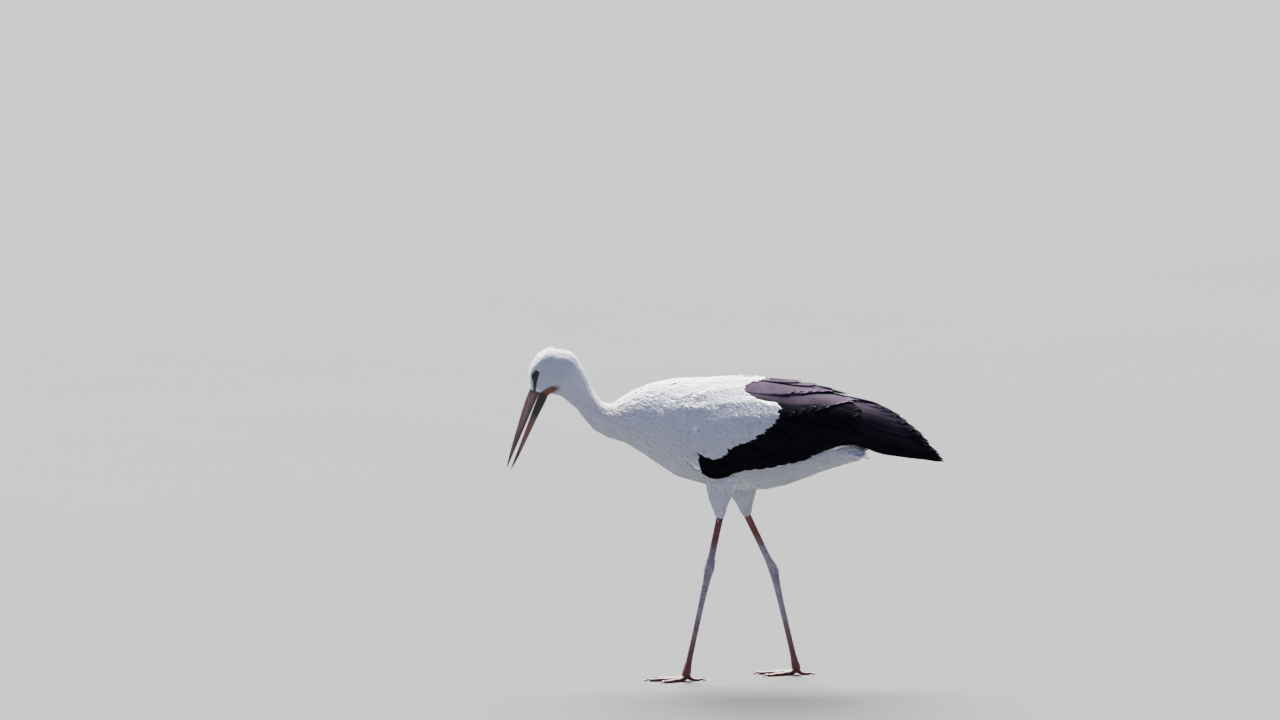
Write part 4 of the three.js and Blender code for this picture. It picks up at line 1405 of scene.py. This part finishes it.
def build_lids(name, side, skin):
    """A ring of bare wrinkled lid from the eyeball's front out to the skin."""
    centre, axis, first, second = eye_axes(side)
    faces = [list(face.vertices) for face in skin.data.polygons]
    ground = BVHTree.FromPolygons(read_points(skin.data).tolist(), faces)
    around, steps = 64, 16
    points = []
    for k in range(around):
        turn = 2 * math.pi * k / around
        ring = []
        for j in range(steps + 1):
            t = j / steps
            long, high = LID_INNER * (1 - t) + LID_OUTER * t
            away = first * math.cos(turn) * long + second * math.sin(turn) * high
            gap = np.linalg.norm(away)
            ball = math.sqrt(max(EYE_RADIUS ** 2 - gap ** 2, 0))
            hit = ground.ray_cast((centre + (away + axis * 30) * MM).tolist(), (-axis).tolist(), 0.06)
            level = 30 - hit[3] / MM if hit[0] else ball
            height = ball + (level - 0.5 - ball) * smoothstep(t, 0.1, 0.95)
            height += 0.85 * math.exp(-((t - 0.18) / 0.15) ** 2)
            height += 0.16 * math.sin(26 * t + 1.5 * math.sin(3 * turn)) * smoothstep(t, 0.3, 0.5) * (1 - t)
            ring.append((away, height))
        points += [centre + (away + axis * height) * MM for away, height in ring]
        points += [centre + (away + axis * (height - LID_THICKNESS)) * MM for away, height in reversed(ring)]
    index = np.arange(len(points)).reshape(around, -1)
    onward, up = np.roll(index, -1, axis=0), np.roll(index, -1, axis=1)
    corners = [index, onward, np.roll(onward, -1, axis=1), up]
    faces = np.stack(corners if side > 0 else corners[::-1], -1).reshape(-1, 4)
    made = make_object(name, points, faces, SKIN)
    set_values(made.data, "bare", np.ones(len(points)))
    return made


def build_eye(name, side):
    """An eyeball with a low clear dome."""
    centre, axis, first, second = eye_axes(side)
    rings, around = 36, 48
    points, faces, share = [centre + axis * (EYE_RADIUS + EYE_DOME) * MM], [], [0.0]
    for i in range(1, rings):
        angle = math.pi * i / rings
        dome = EYE_DOME * math.exp(-(angle / 0.62) ** 2)
        for k in range(around):
            turn = 2 * math.pi * k / around
            away = first * math.cos(turn) + second * math.sin(turn)
            way = axis * math.cos(angle) + away * math.sin(angle)
            points.append(centre + way * (EYE_RADIUS + dome) * MM)
            share.append(angle)
    points.append(centre - axis * EYE_RADIUS * MM)
    share.append(math.pi)
    last = 1 + (rings - 2) * around
    for k in range(around):
        faces.append((0, 1 + k, 1 + (k + 1) % around))
        faces.append((len(points) - 1, last + (k + 1) % around, last + k))
    for i in range(rings - 2):
        for k in range(around):
            a, b = 1 + i * around + k, 1 + i * around + (k + 1) % around
            faces.append((a, a + around, b + around, b))
    made = make_object(name, points, faces, EYE)
    set_values(made.data, "ring", np.array(share))
    return made


# ---------- legs ----------

TOES = ("middle", "inner", "outer", "hind")


def build_leg(name):
    nodes = [f"shank_{name}", f"tarsus_{name}"] + [f"toe_{name}_{toe}" for toe in TOES]
    made = one_skin(f"leg_{name}", nodes, 0.0011, 6)
    points = read_points(made.data)
    height = points[:, 2]
    set_values(made.data, "bloom", smoothstep(height, 0.275, 0.235) * smoothstep(height, 0.02, 0.17) * 0.9)
    made.data.materials.append(LEG_SCALES)
    finish_piece(made, nodes)
    build_claws(name)
    return made


def build_claws(name):
    for toe in TOES:
        claw = one_skin(f"claw_horn_{name}_{toe}", [f"claw_{name}_{toe}"], 0.0005, 5)
        points = read_points(claw.data)
        set_values(claw.data, "far", np.clip((points[:, 2].max() - points[:, 2]) / 0.006, 0, 1))
        set_values(claw.data, "dark", np.zeros(len(points)))
        claw.data.materials.append(CLAW_HORN)
        finish_piece(claw, [f"claw_{name}_{toe}"])


# ---------- the scene ----------

def build_floor():
    half = 150
    floor = make_object("floor", [(-half, -half, 0), (half, -half, 0), (half, half, 0), (-half, half, 0)],
                        [(0, 1, 2, 3)], FLOOR)


build_studio()
skin = build_skin()
finish_piece(skin, FLESH)
upper_bill, lower_bill = build_bill_half("bill_horn_upper", 1), build_bill_half("bill_horn_lower", -1)
finish_piece(upper_bill, ["bill_upper"])
finish_piece(lower_bill, ["bill_lower"])
legs = []
for side_name, side_sign in (("left", -1), ("right", 1)):
    finish_piece(build_eye(f"eyeball_{side_name}", side_sign), [f"eye_{side_name}"])
    finish_piece(build_lids(f"lids_{side_name}", side_sign, skin))
    legs.append(build_leg(side_name))
build_coat([upper_bill, lower_bill] + legs)
build_wings()
build_tail()
build_floor()
